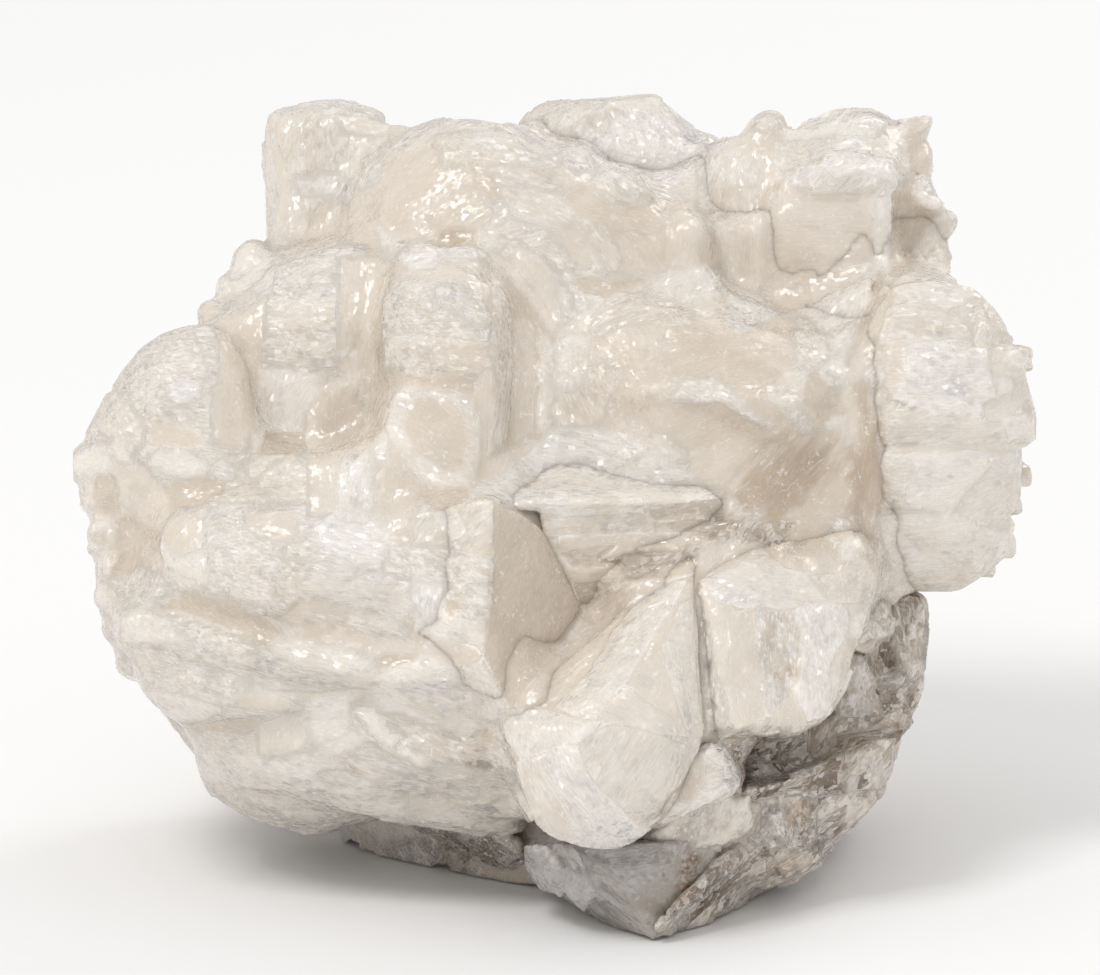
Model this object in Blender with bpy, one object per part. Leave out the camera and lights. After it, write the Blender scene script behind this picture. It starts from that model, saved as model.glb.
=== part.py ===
"""Quartz specimen: one cluster of blocky white crystals grown together over a smoky base.

Every crystal is the convex hull of a few points. Most points are given as an outline, across and up in
millimetres as seen from the front and 15 degrees above level, with a depth that grows away from the viewer.
All crystals are united into one solid, which is cut flat where the specimen rests.
"""
import math

import bmesh
import bpy

NAME = "quartz_cluster"
MM = 0.001
VIEW_TILT = math.radians(15.0)      # the outlines are seen from this far above level
MIDDLE = (0.0, 0.8)                 # the middle of the finished specimen, taken to the origin
SKIRT = 60.0                        # half size of the block that cuts the underside flat
CUT_DEPTH = 30.0                    # how far that block reaches down
KNOB_RINGS = ((-0.55, 0.84), (0.45, 0.9))   # level and width of a knob's two rings, as shares of its size
KNOB_BEAT = 0.22                    # how much knobs in a row differ in size
LEDGE_DEPTH = 4.0                   # how far a ledge reaches into the crystal that it lies on
MILKY = (0.87, 0.84, 0.80, 1.0)


def spot(across, up, depth):
    """The place of a point seen across and up, at a depth behind the middle."""
    height = (up - depth * math.sin(VIEW_TILT)) / math.cos(VIEW_TILT)
    return (across, depth, height)


def tablet(outline, near, thick, lean=(0.0, 0.0), inset=4.0, rim=0.35, back=0.8):
    """A tabular crystal: a front face inset from the outline, the full outline at the rim, a smaller back.

    near is the depth of the middle of the front face, thick its distance to the back, and lean how much
    deeper the front face lies for each millimetre across and up.
    """
    middle_across = sum(place[0] for place in outline) / len(outline)
    middle_up = sum(place[1] for place in outline) / len(outline)
    reach = sum(math.dist(place, (middle_across, middle_up)) for place in outline) / len(outline)
    rings = ((1.0 - inset / reach, 0.0, 1.0), (1.0, rim * thick, 1.0 - rim), (back, thick, 0.0))
    points = []
    for scale, step, slope in rings:
        for across, up in outline:
            off_across = (across - middle_across) * scale
            off_up = (up - middle_up) * scale
            leaning = slope * (lean[0] * off_across + lean[1] * off_up)
            points.append(spot(middle_across + off_across, middle_up + off_up, near + step + leaning))
    return points


def terraced(outline, near, thick, lean, steps, rise, towards, share=0.74, **shape):
    """A tabular crystal with ledges on its front: each plate is smaller and drawn towards one place."""
    crystals = [tablet(outline, near, thick, lean=lean, **shape)]
    middle = [sum(place[side] for place in outline) / len(outline) for side in (0, 1)]
    for step in range(1, steps + 1):
        scale = share ** step
        ledge = [(towards[0] + (across - towards[0]) * scale,
                  towards[1] + (up - towards[1]) * scale) for across, up in outline]
        offset = [(towards[side] - middle[side]) * (1.0 - scale) for side in (0, 1)]
        depth = near - rise * step + lean[0] * offset[0] + lean[1] * offset[1]
        crystals.append(tablet(ledge, depth, LEDGE_DEPTH + rise * step, lean=lean, inset=0.9, rim=0.2,
                               back=1.0))
    return crystals


def gem(*places):
    """A crystal whose corners are given one by one, as across, up and depth."""
    return [spot(*place) for place in places]


def lump(across, up, depth, wide, tall, deep, sides=6):
    """A rounded knob: two rings of corners between two poles."""
    points = []
    for level, ring in KNOB_RINGS:
        for step in range(sides):
            angle = math.tau * (step + 0.5 * (level > 0)) / sides
            points.append(spot(across + wide * ring * math.cos(angle), up + tall * level,
                               depth + deep * ring * math.sin(angle)))
    points.append(spot(across, up - tall, depth))
    points.append(spot(across, up + tall, depth))
    return points


def block(middle, size, turn=0.0, tilt=0.0, chamfer=0.25):
    """A chamfered block at x, y and height, tilted sideways, then turned about the vertical."""
    points = []
    for axis in range(3):
        for signs in range(8):
            corner = [size[side] * (0.5 if signs >> side & 1 else -0.5) for side in range(3)]
            for side in range(3):
                if side != axis:
                    corner[side] *= 1.0 - chamfer
            x = corner[0] * math.cos(tilt) - corner[2] * math.sin(tilt)
            z = corner[0] * math.sin(tilt) + corner[2] * math.cos(tilt)
            y = corner[1]
            points.append((middle[0] + x * math.cos(turn) - y * math.sin(turn),
                           middle[1] + x * math.sin(turn) + y * math.cos(turn), middle[2] + z))
    return points


def lumps_along(path, size, spacing):
    """Knobs along a line of places, each a little larger or smaller than the one before."""
    knobs = []
    for start, end in zip(path, path[1:]):
        length = math.dist(start, end)
        count = max(1, round(length / spacing))
        for step in range(count):
            share = (step + 0.5) / count
            place = [a + (b - a) * share for a, b in zip(start, end)]
            beat = 1.0 + KNOB_BEAT * math.sin(2.4 * len(knobs) + place[0])
            knobs.append(lump(*place, size * beat, size * 0.85 * beat, size * 1.3))
    return knobs


def heart():
    """The hidden middle that all crystals grow from, wide at half height and narrow at its foot."""
    levels = (
        (-3.0, [(-30, 5), (-20, 3), (-8, -5), (4, -20), (24, -22), (34, -6), (38, 10), (36, 24), (20, 33),
                (-12, 32), (-30, 22)]),
        (40.0, [(-48, -6), (-22, -20), (16, -14), (42, -6), (46, 20), (22, 42), (-20, 43), (-50, 22)]),
        (70.0, [(-48, -2), (-20, -8), (12, -6), (42, 2), (50, 20), (26, 42), (-20, 42), (-50, 20)]),
        (93.0, [(-30, 14), (-8, 8), (16, 12), (34, 20), (28, 36), (-18, 36)]),
    )
    return [(x, y, height) for height, ring in levels for x, y in ring]


def crown():
    """The upper crest: a rough tower, the big rounded fan and the white block behind it."""
    tower = [(-41, 86), (-42.2, 93.5), (-42.9, 103), (-42.2, 108.6), (-38.5, 109.2), (-31, 110.5),
             (-26, 109.4), (-24.4, 108), (-24.2, 96), (-25, 86), (-33, 83)]
    fan_left = [(-30, 90), (-29.5, 96), (-28, 99.5), (-24, 103.8), (-18.5, 107.2), (-13, 108),
                (-7, 107.8), (-4, 105), (-2, 98), (-3, 86), (-12, 82), (-24, 84)]
    fan_right = [(-8, 104), (-3, 103.5), (4, 100.5), (12, 96.5), (19, 93.5), (24, 87), (24, 80), (12, 77),
                 (0, 79), (-8, 84)]
    under_fan = [(-12, 88), (-6, 90.5), (2, 88), (6, 83), (3, 76), (-2, 72), (-10, 76)]
    white_back = [(-5, 106), (-2.5, 109.6), (0, 110.8), (6, 110), (15, 111.4), (18, 109), (22, 104.8),
                  (25, 102), (24, 93), (6, 92), (-4, 97)]
    crystals = terraced(tower, 17, 24, (-0.1, 0.15), 2, 1.0, (-40, 108), share=0.7, inset=3, rim=0.5)
    crystals += terraced(fan_left, 2, 24, (-0.35, 0.55), 3, 1.1, (-25, 86), share=0.8, inset=4.5, rim=0.4,
                         back=0.75)
    crystals += terraced(fan_right, 1, 24, (0.4, 0.65), 3, 1.1, (-7, 86), share=0.76, inset=4, rim=0.4,
                         back=0.75)
    crystals.append(tablet(under_fan, -7, 18, lean=(0.35, 0.4), inset=3))
    crystals += terraced(white_back, 27, 24, (0.05, 0.5), 2, 1.0, (20, 94), share=0.75, inset=3, rim=0.45)
    crystals += lumps_along([(-28, 97, 12), (-22, 103, 13), (-13, 106, 14), (-6, 105.5, 14)], 2.6, 4.4)
    crystals += lumps_along([(3.2, 100.4, 12), (14, 95, 13), (21, 92, 14), (24, 86, 15)], 2.7, 4.2)
    crystals += lumps_along([(-38, 107, 26), (-28, 108, 27)], 2.6, 4.5)
    crystals += lumps_along([(0, 108.5, 36), (16, 109, 38)], 2.6, 5.0)
    return crystals


def right_back():
    """The upright ribbed block at the back right, with its lower face forward and its splintered side."""
    rear = [(24, 103), (26.5, 105.3), (31, 108.2), (40, 109.8), (47, 110), (51, 107), (53.5, 101),
            (54.5, 92), (50, 86), (28, 84), (21.5, 92)]
    ribs = [(22, 103), (27, 105.3), (31, 104), (31.5, 92), (30, 83), (24, 84), (21, 93)]
    lower_face = [(29, 96.5), (36, 98), (46.5, 97.5), (49, 94), (48.8, 86), (39.5, 79), (32, 77),
                  (28, 84)]
    column = [(54.5, 84.5), (58.4, 91.5), (57.3, 94), (54, 95), (50, 90), (51, 84)]
    spike = [(49.5, 103), (51.5, 108), (54.2, 108.8), (55.2, 107.6), (53.2, 103), (52, 99)]
    outer = [(49, 101), (54, 102.4), (54.7, 98.7), (56.5, 96), (55.5, 90), (50, 88)]
    return terraced(rear, 16, 30, (0.1, 0.3), 2, 1.2, (50, 90), share=0.8, inset=3.5, rim=0.45) + [
        tablet(ribs, 12, 22, lean=(-0.3, 0.3), inset=2),
        tablet(lower_face, 8, 28, lean=(0.0, 0.12), inset=1.6, rim=0.2),
        tablet(column, 14, 16, lean=(0.4, 0.1), inset=1.5),
        tablet(spike, 24, 12, lean=(0.3, 0.2), inset=1),
        tablet(outer, 20, 18, lean=(0.4, 0.1), inset=1.5),
    ]


def right_tower():
    """The rounded upright block at the right, layered level, with the bright blade that leans on it."""
    body = [(46.5, 82), (49, 84.4), (55, 84.2), (60, 83.6), (64, 80.3), (67, 74), (69.6, 65), (68.8, 58),
            (66.5, 49.5), (64.6, 43.5), (58, 38.4), (49, 38.7), (45, 46), (43.3, 58), (41, 66), (43, 74)]
    upper_layer = [(47, 81), (50, 83.6), (60, 83), (64, 79), (66.6, 74), (58, 72.5), (48, 72.5),
                   (44.5, 75)]
    middle_layer = [(46, 73), (58, 73.3), (67.2, 73), (68.8, 65), (68, 59), (58, 58.6), (45.8, 59.4),
                    (44, 66)]
    low_layer = [(46, 59), (58, 59.2), (67.2, 59), (66, 49.6), (62, 46), (50, 46.5), (45.5, 51)]
    blade = gem((33, 79.2, 4), (38, 76.5, -3), (41.5, 72, -7), (46.2, 82, -3), (46, 84.3, 4), (42, 82, 5),
                (39.5, 80, 6), (40, 74, 14), (46, 79, 16))
    return [
        tablet(body, -13, 40, lean=(0.12, 0.15), inset=6, rim=0.35, back=0.7),
        tablet(upper_layer, -11, 18, lean=(0.15, 0.75), inset=2.5),
        tablet(middle_layer, -16.5, 16, lean=(0.2, 0.1), inset=1.8),
        tablet(low_layer, -15.5, 14, lean=(0.25, -0.1), inset=1.8),
        blade,
    ]


def centre():
    """The big ridged block in the middle and the leaning plates below it."""
    block_left = gem((0, 74, -3), (2, 75.5, -3), (8, 81.3, 0), (15, 84.2, 2), (22, 85, 3), (24, 80, -6),
                     (1, 68, -15), (14, 68, -23), (24, 66.7, -24), (0, 62, -13), (10, 60, -18),
                     (20, 54, -16), (23, 53.5, -15), (12, 72, 16), (4, 64, 10), (22, 60, 12))
    block_right = gem((20, 84, 1), (26, 81.5, 0), (31, 80, -1), (36, 78, -3), (40, 73.5, -7),
                      (42.3, 70, -9), (22, 67, -24.5), (27, 66.5, -25), (31, 64, -25), (40.5, 66.5, -16),
                      (43, 60, -9), (43.8, 51, -7), (38, 49.5, -8), (28, 49.5, -10), (23, 53.5, -14),
                      (34, 66, 16), (24, 60, 12))
    fan_facet = gem((36, 77.5, -6), (40, 73.5, -9), (42, 70, -11), (40.5, 66.5, -18), (36, 68.5, -19),
                    (34, 73, -15), (38, 70, 0))
    plates = []
    for step in range(3):
        left = 27.5 + 2.2 * step
        low = 41.0 + 1.2 * step
        sheet = [(left, low + 1.5), (left + 1.5, 50.5), (44.5, 51), (44.5, 47 - step), (42, low)]
        plates.append(tablet(sheet, -20 + 3.5 * step, 16, lean=(0.25, 0.5), inset=1))
    rough_left = [(1.5, 69), (2, 75), (7, 80), (13, 81), (17, 78), (15, 73.5), (18, 71), (14, 68.5),
                  (6, 68)]
    rough_top = [(13, 80), (15.5, 83.6), (22, 84.4), (26, 81), (25, 77), (19, 76.5)]
    rough_right = [(16, 69), (19, 73), (18, 76), (24, 77), (30, 76.5), (33, 72), (31, 67), (27, 66.8),
                   (20, 67.2)]
    steps = [
        tablet(rough_left, -15.5, 12, lean=(-0.3, 0.95), inset=1.6),
        tablet(rough_top, -3.5, 10, lean=(-0.1, 0.9), inset=1.4),
        tablet(rough_right, -18.5, 12, lean=(0.15, 1.15), inset=1.6),
    ]
    return [block_left, block_right, fan_facet] + plates + steps


def nodule_block():
    """The swollen block left of the middle: a ribbed front, a smooth side turning away and knobs on top."""
    body = gem((-24, 82, -13), (-21, 86.5, -8), (-11, 87, -9), (-9.5, 80, -20), (-9, 70, -25),
               (-9.5, 59, -26), (-14, 54, -25), (-22, 56, -20), (-25.5, 66, -17), (-4, 84, -4),
               (-1, 79, -4), (0.3, 74, -5), (0.3, 64, -8), (-2, 59, -12), (-5, 56, -18), (-12, 70, 16))
    plate = [(-24.5, 64), (-22, 68), (-14, 68.5), (-11, 65), (-11, 57.5), (-14, 54), (-20, 54), (-24, 58)]
    cap_left = lump(-19.5, 86, -8, 3.6, 3.2, 5)
    cap_right = lump(-13.5, 87, -7, 3.4, 2.6, 5)
    front = [(-24, 70), (-24.2, 81), (-20, 85), (-12, 84.4), (-9.6, 79), (-9.6, 70), (-14, 67.5)]
    crystals = terraced(front, -21, 14, (-0.35, 0.4), 2, 0.9, (-10, 84), share=0.72, inset=1.6)
    return crystals + [body, tablet(plate, -27, 16, lean=(-0.1, 0.15), inset=2.2), cap_left, cap_right]


def left_upper():
    """The ribbed column, the round dome at the far left and the small pale knobs between them."""
    column = [(-41, 84), (-38, 87), (-30, 88), (-24, 86.5), (-22.5, 84), (-24.8, 78), (-28, 70),
              (-34, 66), (-41, 70)]
    band = [(-30.5, 86), (-25, 85.5), (-24, 80), (-26, 72), (-30, 68), (-31, 76)]
    shoulder = [(-51.5, 78), (-48, 80.5), (-43.5, 81.5), (-39, 78), (-40, 68), (-46, 66), (-50, 70)]
    dome = [(-51.8, 78), (-55.5, 77), (-59.5, 74.8), (-63.3, 69.5), (-68, 61.8), (-69.6, 58.5), (-68, 54),
            (-60, 50), (-47, 52), (-43.5, 60), (-44, 68), (-47, 75)]
    dome_face = [(-60, 72), (-54, 74.5), (-49, 73), (-46.5, 66), (-47.5, 58.5), (-56, 56), (-64, 58.5),
                 (-64, 65)]
    crystals = terraced(column, -8, 26, (-0.1, 0.35), 2, 1.0, (-40, 86), share=0.7, inset=2.2, rim=0.3)
    crystals += [
        tablet(band, -10.5, 16, lean=(0.35, 0.3), inset=1.2),
        tablet(shoulder, -5, 24, lean=(-0.2, 0.4), inset=2.5),
        tablet(dome, -18, 40, lean=(-0.35, 0.35), inset=7, rim=0.4, back=0.7),
        tablet(dome_face, -22.0, 16, lean=(-0.25, 0.35), inset=3.5, rim=0.3),
        lump(-43.5, 86.4, 12, 3.2, 3.2, 6),
        lump(-45.0, 82.5, 8, 3.0, 2.8, 6),
        lump(-39.5, 66.0, -13, 5.0, 5.0, 8, sides=8),
        lump(-35.5, 60.5, -15, 4.4, 4.6, 8, sides=8),
        lump(-42.5, 58.5, -18, 3.6, 4.4, 7),
        lump(-29.5, 62.5, -13, 6.0, 8.0, 8, sides=8),
    ]
    return crystals


def left_flank():
    """The lower left: splintery slabs lying over one another, a smooth kite face at their right end."""
    flank = [(-68.3, 51.5), (-67.3, 44), (-66.2, 37), (-65, 31.5), (-61.3, 26.6), (-56, 21.7),
             (-52.5, 14), (-50, 9.4), (-43, 4.9), (-34, 3.2), (-24, 6.2), (-20, 25), (-24, 50), (-45, 57),
             (-64, 55.5)]
    upper_slab = [(-57, 44), (-57.5, 50), (-50, 54.5), (-40, 55.5), (-30, 53), (-18, 53.5), (-10, 51.5),
                  (-9.5, 36), (-20, 34), (-36, 37.5), (-50, 41)]
    over_slab = [(-36, 44), (-34, 50), (-25, 50.5), (-14, 48), (-11, 42), (-20, 39.5), (-30, 41)]
    middle_slab = [(-65, 35), (-58, 39.5), (-48, 40), (-36, 37), (-22, 33.5), (-10, 30.5), (-12, 25),
                   (-24, 24), (-40, 26), (-56, 29)]
    lower_slab = [(-61, 28.5), (-50, 29.5), (-36, 27), (-24, 24), (-22, 19.5), (-36, 18.5), (-46, 17),
                  (-55, 20)]
    foot_slab = [(-54, 18.5), (-46, 20), (-36, 22), (-24, 20), (-20, 12), (-25, 6.5), (-37, 3.4),
                 (-44, 5.4), (-51.5, 10.5)]
    grey_slab = [(-29, 21), (-16, 20), (-5, 17), (-3.5, 8), (-6, 3.2), (-12, 4), (-20, 5.4), (-27, 9)]
    bright_slab = [(-27, 24), (-22, 28.3), (-17, 29.3), (-10, 28.7), (-6, 22.5), (-5.5, 15), (-12, 17),
                   (-22, 20)]
    kite = gem((-9, 52, -37), (-10.5, 36, -42), (-9.8, 28.5, -42), (-5.8, 23, -40), (-2, 28.5, -36),
               (2, 33.3, -31), (4, 36.5, -28), (0.5, 44.5, -28), (-2, 49, -30), (-24, 52, -27),
               (-26, 34, -34), (-20, 27, -36), (-12, 40, -8))
    stalk = [(-31.5, 50), (-31, 57), (-29, 59.5), (-26, 58.5), (-25, 52), (-27, 47)]
    crystals = [
        tablet(flank, -20, 52, lean=(-0.3, 0.1), inset=9, rim=0.35, back=0.6),
        tablet(over_slab, -36.5, 16, lean=(-0.12, 0.5), inset=1.6),
        tablet(lower_slab, -31, 26, lean=(-0.25, -0.15), inset=1.8, rim=0.3),
        tablet(grey_slab, -26, 26, lean=(0.0, -0.55), inset=2.5, rim=0.3),
        tablet(bright_slab, -37, 20, lean=(-0.1, -0.1), inset=2),
        tablet(stalk, -27, 14, lean=(-0.2, 0.2), inset=1.2),
        kite,
        lump(-38.0, 55.0, -26, 4.8, 4.6, 8, sides=8),
        lump(-44.5, 53.5, -27, 3.4, 3.0, 7),
        lump(-21.0, 52.5, -27, 5.0, 3.8, 8),
        lump(-14.0, 52.8, -29, 4.4, 3.2, 8),
        lump(-65.0, 53.5, -6, 4.0, 4.4, 10),
        lump(-65.0, 46.0, -8, 3.4, 4.0, 10),
        lump(-61.0, 48.0, -16, 4.0, 4.6, 8),
        lump(-60.5, 40.5, -18, 3.8, 4.2, 8),
        lump(-63.8, 38.5, -8, 3.6, 4.4, 10),
        lump(-61.5, 31.0, -8, 4.2, 4.6, 10),
    ]
    crystals += terraced(upper_slab, -33, 28, (-0.22, 0.6), 2, 1.0, (-16, 37), share=0.78, inset=2.4,
                         rim=0.3)
    crystals += terraced(middle_slab, -33, 28, (-0.28, 0.25), 2, 1.0, (-20, 25), share=0.78, inset=2.2,
                         rim=0.3)
    crystals += terraced(foot_slab, -22, 30, (-0.2, -0.6), 2, 1.0, (-24, 19), share=0.75, inset=3,
                         rim=0.3)
    return crystals


def layered_wedge():
    """Thin plates stacked in the hollow left of the middle block, under a rough white top."""
    top = gem((-12, 53.5, -24), (-8, 56.5, -19), (-4, 61, -12), (0, 62.3, -11), (5, 61.7, -11),
              (13, 59, -13), (19, 56, -15), (25.5, 51.8, -17), (27.8, 49.3, -19), (24, 52.2, -24),
              (2, 51.5, -31), (-8, 50.5, -30), (0, 48, -10), (22, 50, -10))
    plates = [top]
    bands = (
        ((0, 52), (2, 51), (24, 51.8), (27, 49.6), (25, 49), (0, 48)),
        ((0, 48.5), (25, 49.8), (27, 49.2), (24, 47.5), (18, 45.2), (0.5, 44.5)),
        ((0.5, 45), (18, 45.8), (21, 46), (17, 43), (12, 41.2), (2.5, 40)),
        ((2, 41), (12, 42), (15, 42), (10, 39), (4, 36)),
    )
    for step, band in enumerate(bands):
        plates.append(tablet(list(band), -29.5 + 1.2 * step, 20, lean=(0.25, 0.0), inset=0.6, rim=0.1,
                             back=0.95))
    return plates


def lower_centre():
    """The leaning prism with its bright lobe, the ribbed block beside it, and the small fans between."""
    prism = gem((-6, 22.3, -40), (-8, 19.5, -42), (-5, 13, -46), (-4, 9, -47), (-3, 6, -48),
                (0, 3.3, -48), (4, 2, -48), (8.5, 1.7, -47), (11, 2.2, -46), (14, 4.8, -45), (16, 7, -45),
                (17.5, 11, -45), (19.5, 15, -44), (21.7, 18, -43), (20.6, 30, -38), (20, 40, -31),
                (20, 45, -25), (7, 33.6, -32), (3, 19, -52), (15, 18.5, -50), (16.5, 9, -49.5),
                (6, 7, -53), (1, 12, -52), (10, 24, -10), (18, 36, -8), (12, 8, -20))
    ribbed = [(20, 40), (25, 42), (28.5, 44.5), (32, 43), (40, 43), (44.5, 47.5), (46.5, 40), (43, 35),
              (41.3, 30), (40.5, 22), (34, 18), (25, 18), (21.5, 18)]
    ribs = []
    for step in range(5):
        across = 22.8 + 3.9 * step
        low = 20.0 + 0.7 * step
        high = 39.0 + 0.4 * step
        rib = [(across - 1.9, low), (across - 1.9, high), (across + 1.7, high + 1), (across + 1.9, low)]
        ribs.append(tablet(rib, -35.5 + 1.8 * step, 12, lean=(0.3, 0.55), inset=0.7))
    gusset = gem((21.7, 18, -42), (20.5, 40, -30), (25, 42, -24), (28.5, 44.5, -20), (24, 19, -40),
                 (28, 30, -20))
    facets = tablet([(42, 39), (46, 41), (48, 38.5), (47.5, 33), (44, 31), (41.5, 33)], -21, 16,
                    lean=(0.5, 0.3), inset=1.2)
    fan = [(15.5, 5.5), (18, 11), (20, 16), (22, 16.7), (24.5, 15), (26, 11.5), (25, 9.6), (20, 7.4)]
    low_fan = [(12, 3.5), (17, 7), (24, 9), (26, 6), (24, 3), (18, 1.6)]
    return [
        prism,
        tablet(ribbed, -32, 34, lean=(0.35, 0.5), inset=1.6, rim=0.25),
        gusset, facets,
        tablet(fan, -44, 18, lean=(0.3, 0.1), inset=1.5),
        tablet(low_fan, -41, 16, lean=(0.2, -0.2), inset=1.2),
    ] + ribs


def smoky_base():
    """The brown glassy foot at the lower right and the clear crystal in front that the weight rests on."""
    upper = [(40, 36), (48.5, 38.4), (52.5, 38.2), (53.8, 37), (51, 34), (50.4, 32), (52, 27), (53, 24),
             (51, 20), (45, 18.5), (39, 20)]
    middle = [(24, 10), (25, 17), (36, 18), (46, 21), (51, 21), (50.4, 18), (48.3, 14), (47, 10.3),
              (43.2, 6.3), (36, 5), (27, 7)]
    lower = [(14, 3), (25, 10), (36, 9), (44, 8), (39.6, 1.8), (35, -1.8), (31.5, -4), (25, 0)]
    clear = gem((-4, 1, -33), (-1, 3, -40), (8, 2.5, -43), (16, 3, -43), (24, 4, -38), (26, 1, -33),
                (17, -10.5, -41.5), (14.5, -11.6, -43.5), (8, -9.6, -36), (3, -6.7, -26), (-3, -3.2, -20),
                (11, -6, -46), (24, -7.2, -27), (10, -2, -10), (26, -2, -10))
    smoky_tip = gem((14, -11.8, -43), (22, -9.6, -36), (25.5, -7.8, -29), (28.5, -5.6, -20),
                    (31.5, -4.6, -16), (36, -2.0, -6), (40, 2.0, 8), (28, 6, -34), (20, 2, -40),
                    (40, 9, -20), (36, 10, 10), (16, 0, -20))
    underside = gem((-26, 6.5, 2), (-23, 1, 4), (-20, 0, 0), (-13, -1, -4), (-6, -3.6, -13),
                    (-3, -2, -16), (-5, 3, -24), (-12, 5, -20), (-20, 7, -14), (-10, 12, 10))
    sparkles = lumps_along([(42, 27, -17), (45, 21, -18)], 2.6, 3.6)
    return [
        tablet(upper, -13, 40, lean=(0.5, 0.1), inset=2.5, rim=0.3, back=0.85),
        tablet(middle, -24, 48, lean=(0.35, -0.45), inset=2.5, rim=0.3, back=0.85),
        tablet(lower, -30, 52, lean=(0.3, -0.5), inset=2, rim=0.3, back=0.85),
        clear, smoky_tip, underside,
    ] + sparkles


def rear():
    """The far side, where blocks and tablets like those in front turn away from the viewer."""
    crystals = [
        block((-42, 22, 56), (32, 26, 30), turn=-0.75, tilt=0.12, chamfer=0.35),
        block((-26, 36, 72), (28, 22, 32), turn=-0.3, tilt=-0.2, chamfer=0.3),
        block((4, 42, 70), (34, 18, 44), turn=0.1, tilt=0.15, chamfer=0.3),
        block((32, 36, 64), (30, 24, 40), turn=0.55, tilt=-0.15, chamfer=0.3),
        block((48, 18, 60), (22, 30, 30), turn=0.9, tilt=0.1, chamfer=0.35),
        block((-39, 19, 35), (30, 30, 28), turn=-0.5, tilt=-0.2, chamfer=0.35),
        block((-20, 34, 40), (36, 26, 34), turn=-0.2, tilt=0.25, chamfer=0.3),
        block((14, 38, 34), (36, 24, 38), turn=0.25, tilt=-0.3, chamfer=0.3),
        block((30, 23, 28), (20, 28, 32), turn=0.7, tilt=0.1, chamfer=0.3),
        block((-6, 26, 12), (48, 22, 24), turn=0.05, tilt=0.0, chamfer=0.25),
        block((12, 42, 88), (26, 16, 20), turn=0.2, tilt=0.1, chamfer=0.3),
    ]
    for step in range(4):
        crystals.append(block((-4 + 8 * step, 48 - 1.2 * step, 60 - 7 * step), (9, 11, 36), turn=0.15,
                              tilt=0.35, chamfer=0.25))
    return crystals


def hull_object(name, points, folder):
    """Adds the convex hull of some points, given in millimetres, as an object of its own."""
    shape = bmesh.new()
    for x, y, height in points:
        shape.verts.new(((x - MIDDLE[0]) * MM, (y - MIDDLE[1]) * MM, height * MM))
    result = bmesh.ops.convex_hull(shape, input=shape.verts)
    unused = result["geom_interior"] + result["geom_unused"]
    loose = {item for item in unused if isinstance(item, bmesh.types.BMVert)}
    bmesh.ops.delete(shape, geom=list(loose), context="VERTS")
    bmesh.ops.recalc_face_normals(shape, faces=shape.faces)
    mesh = bpy.data.meshes.new(name)
    shape.to_mesh(mesh)
    shape.free()
    item = bpy.data.objects.new(name, mesh)
    folder.objects.link(item)
    return item


def guide(item):
    """Marks an object that only shapes another one."""
    item.hide_render = True
    item.display_type = "WIRE"


def new_folder(name):
    folder = bpy.data.collections.new(name)
    bpy.context.scene.collection.children.link(folder)
    return folder


def milky_material():
    """Milky white stone with a satin shine."""
    material = bpy.data.materials.new("milky_crystal")
    material.use_nodes = True
    shader = material.node_tree.nodes["Principled BSDF"]
    shader.inputs["Base Color"].default_value = MILKY
    shader.inputs["Roughness"].default_value = 0.4
    shader.inputs["Metallic"].default_value = 0.0
    return material


def main():
    for item in list(bpy.data.objects):
        bpy.data.objects.remove(item)
    specimen = new_folder("quartz_specimen")
    growths = new_folder("growths")
    cutters = new_folder("cutters")
    cluster = hull_object(NAME, heart(), specimen)
    cluster.data.materials.append(milky_material())
    makers = (crown, right_back, right_tower, centre, nodule_block, left_upper, left_flank, layered_wedge,
              lower_centre, smoky_base, rear)
    for maker in makers:
        for number, points in enumerate(maker()):
            guide(hull_object(f"{maker.__name__}_{number}", points, growths))
    grow = cluster.modifiers.new("grow together", "BOOLEAN")
    grow.operation = "UNION"
    grow.operand_type = "COLLECTION"
    grow.collection = growths
    grow.solver = "EXACT"
    below = [(x * SKIRT, y * SKIRT, z) for x in (-1, 1) for y in (-1, 1) for z in (0.0, -CUT_DEPTH)]
    base_cut = hull_object("base_cut", below, cutters)
    guide(base_cut)
    rest = cluster.modifiers.new("cut flat to stand", "BOOLEAN")
    rest.operation = "DIFFERENCE"
    rest.object = base_cut
    rest.solver = "EXACT"


main()
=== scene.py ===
"""Looks of the quartz specimen: milky crystals grown together over a smoky, glassy foot.

The crystals of one part of the cluster are the solids between flat faces, grown together into one closed mesh with
even faces. Its surface is then laid over with thin faces, one over another as the real ones broke: each has an
outline, a lift, a way that its threads run and a finish. Where no face is laid, scattered faces take their place.
Outlines are given in millimetres, across and up as seen from the front and 15 degrees above level, and a depth
grows away from the viewer.
"""
import math

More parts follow.
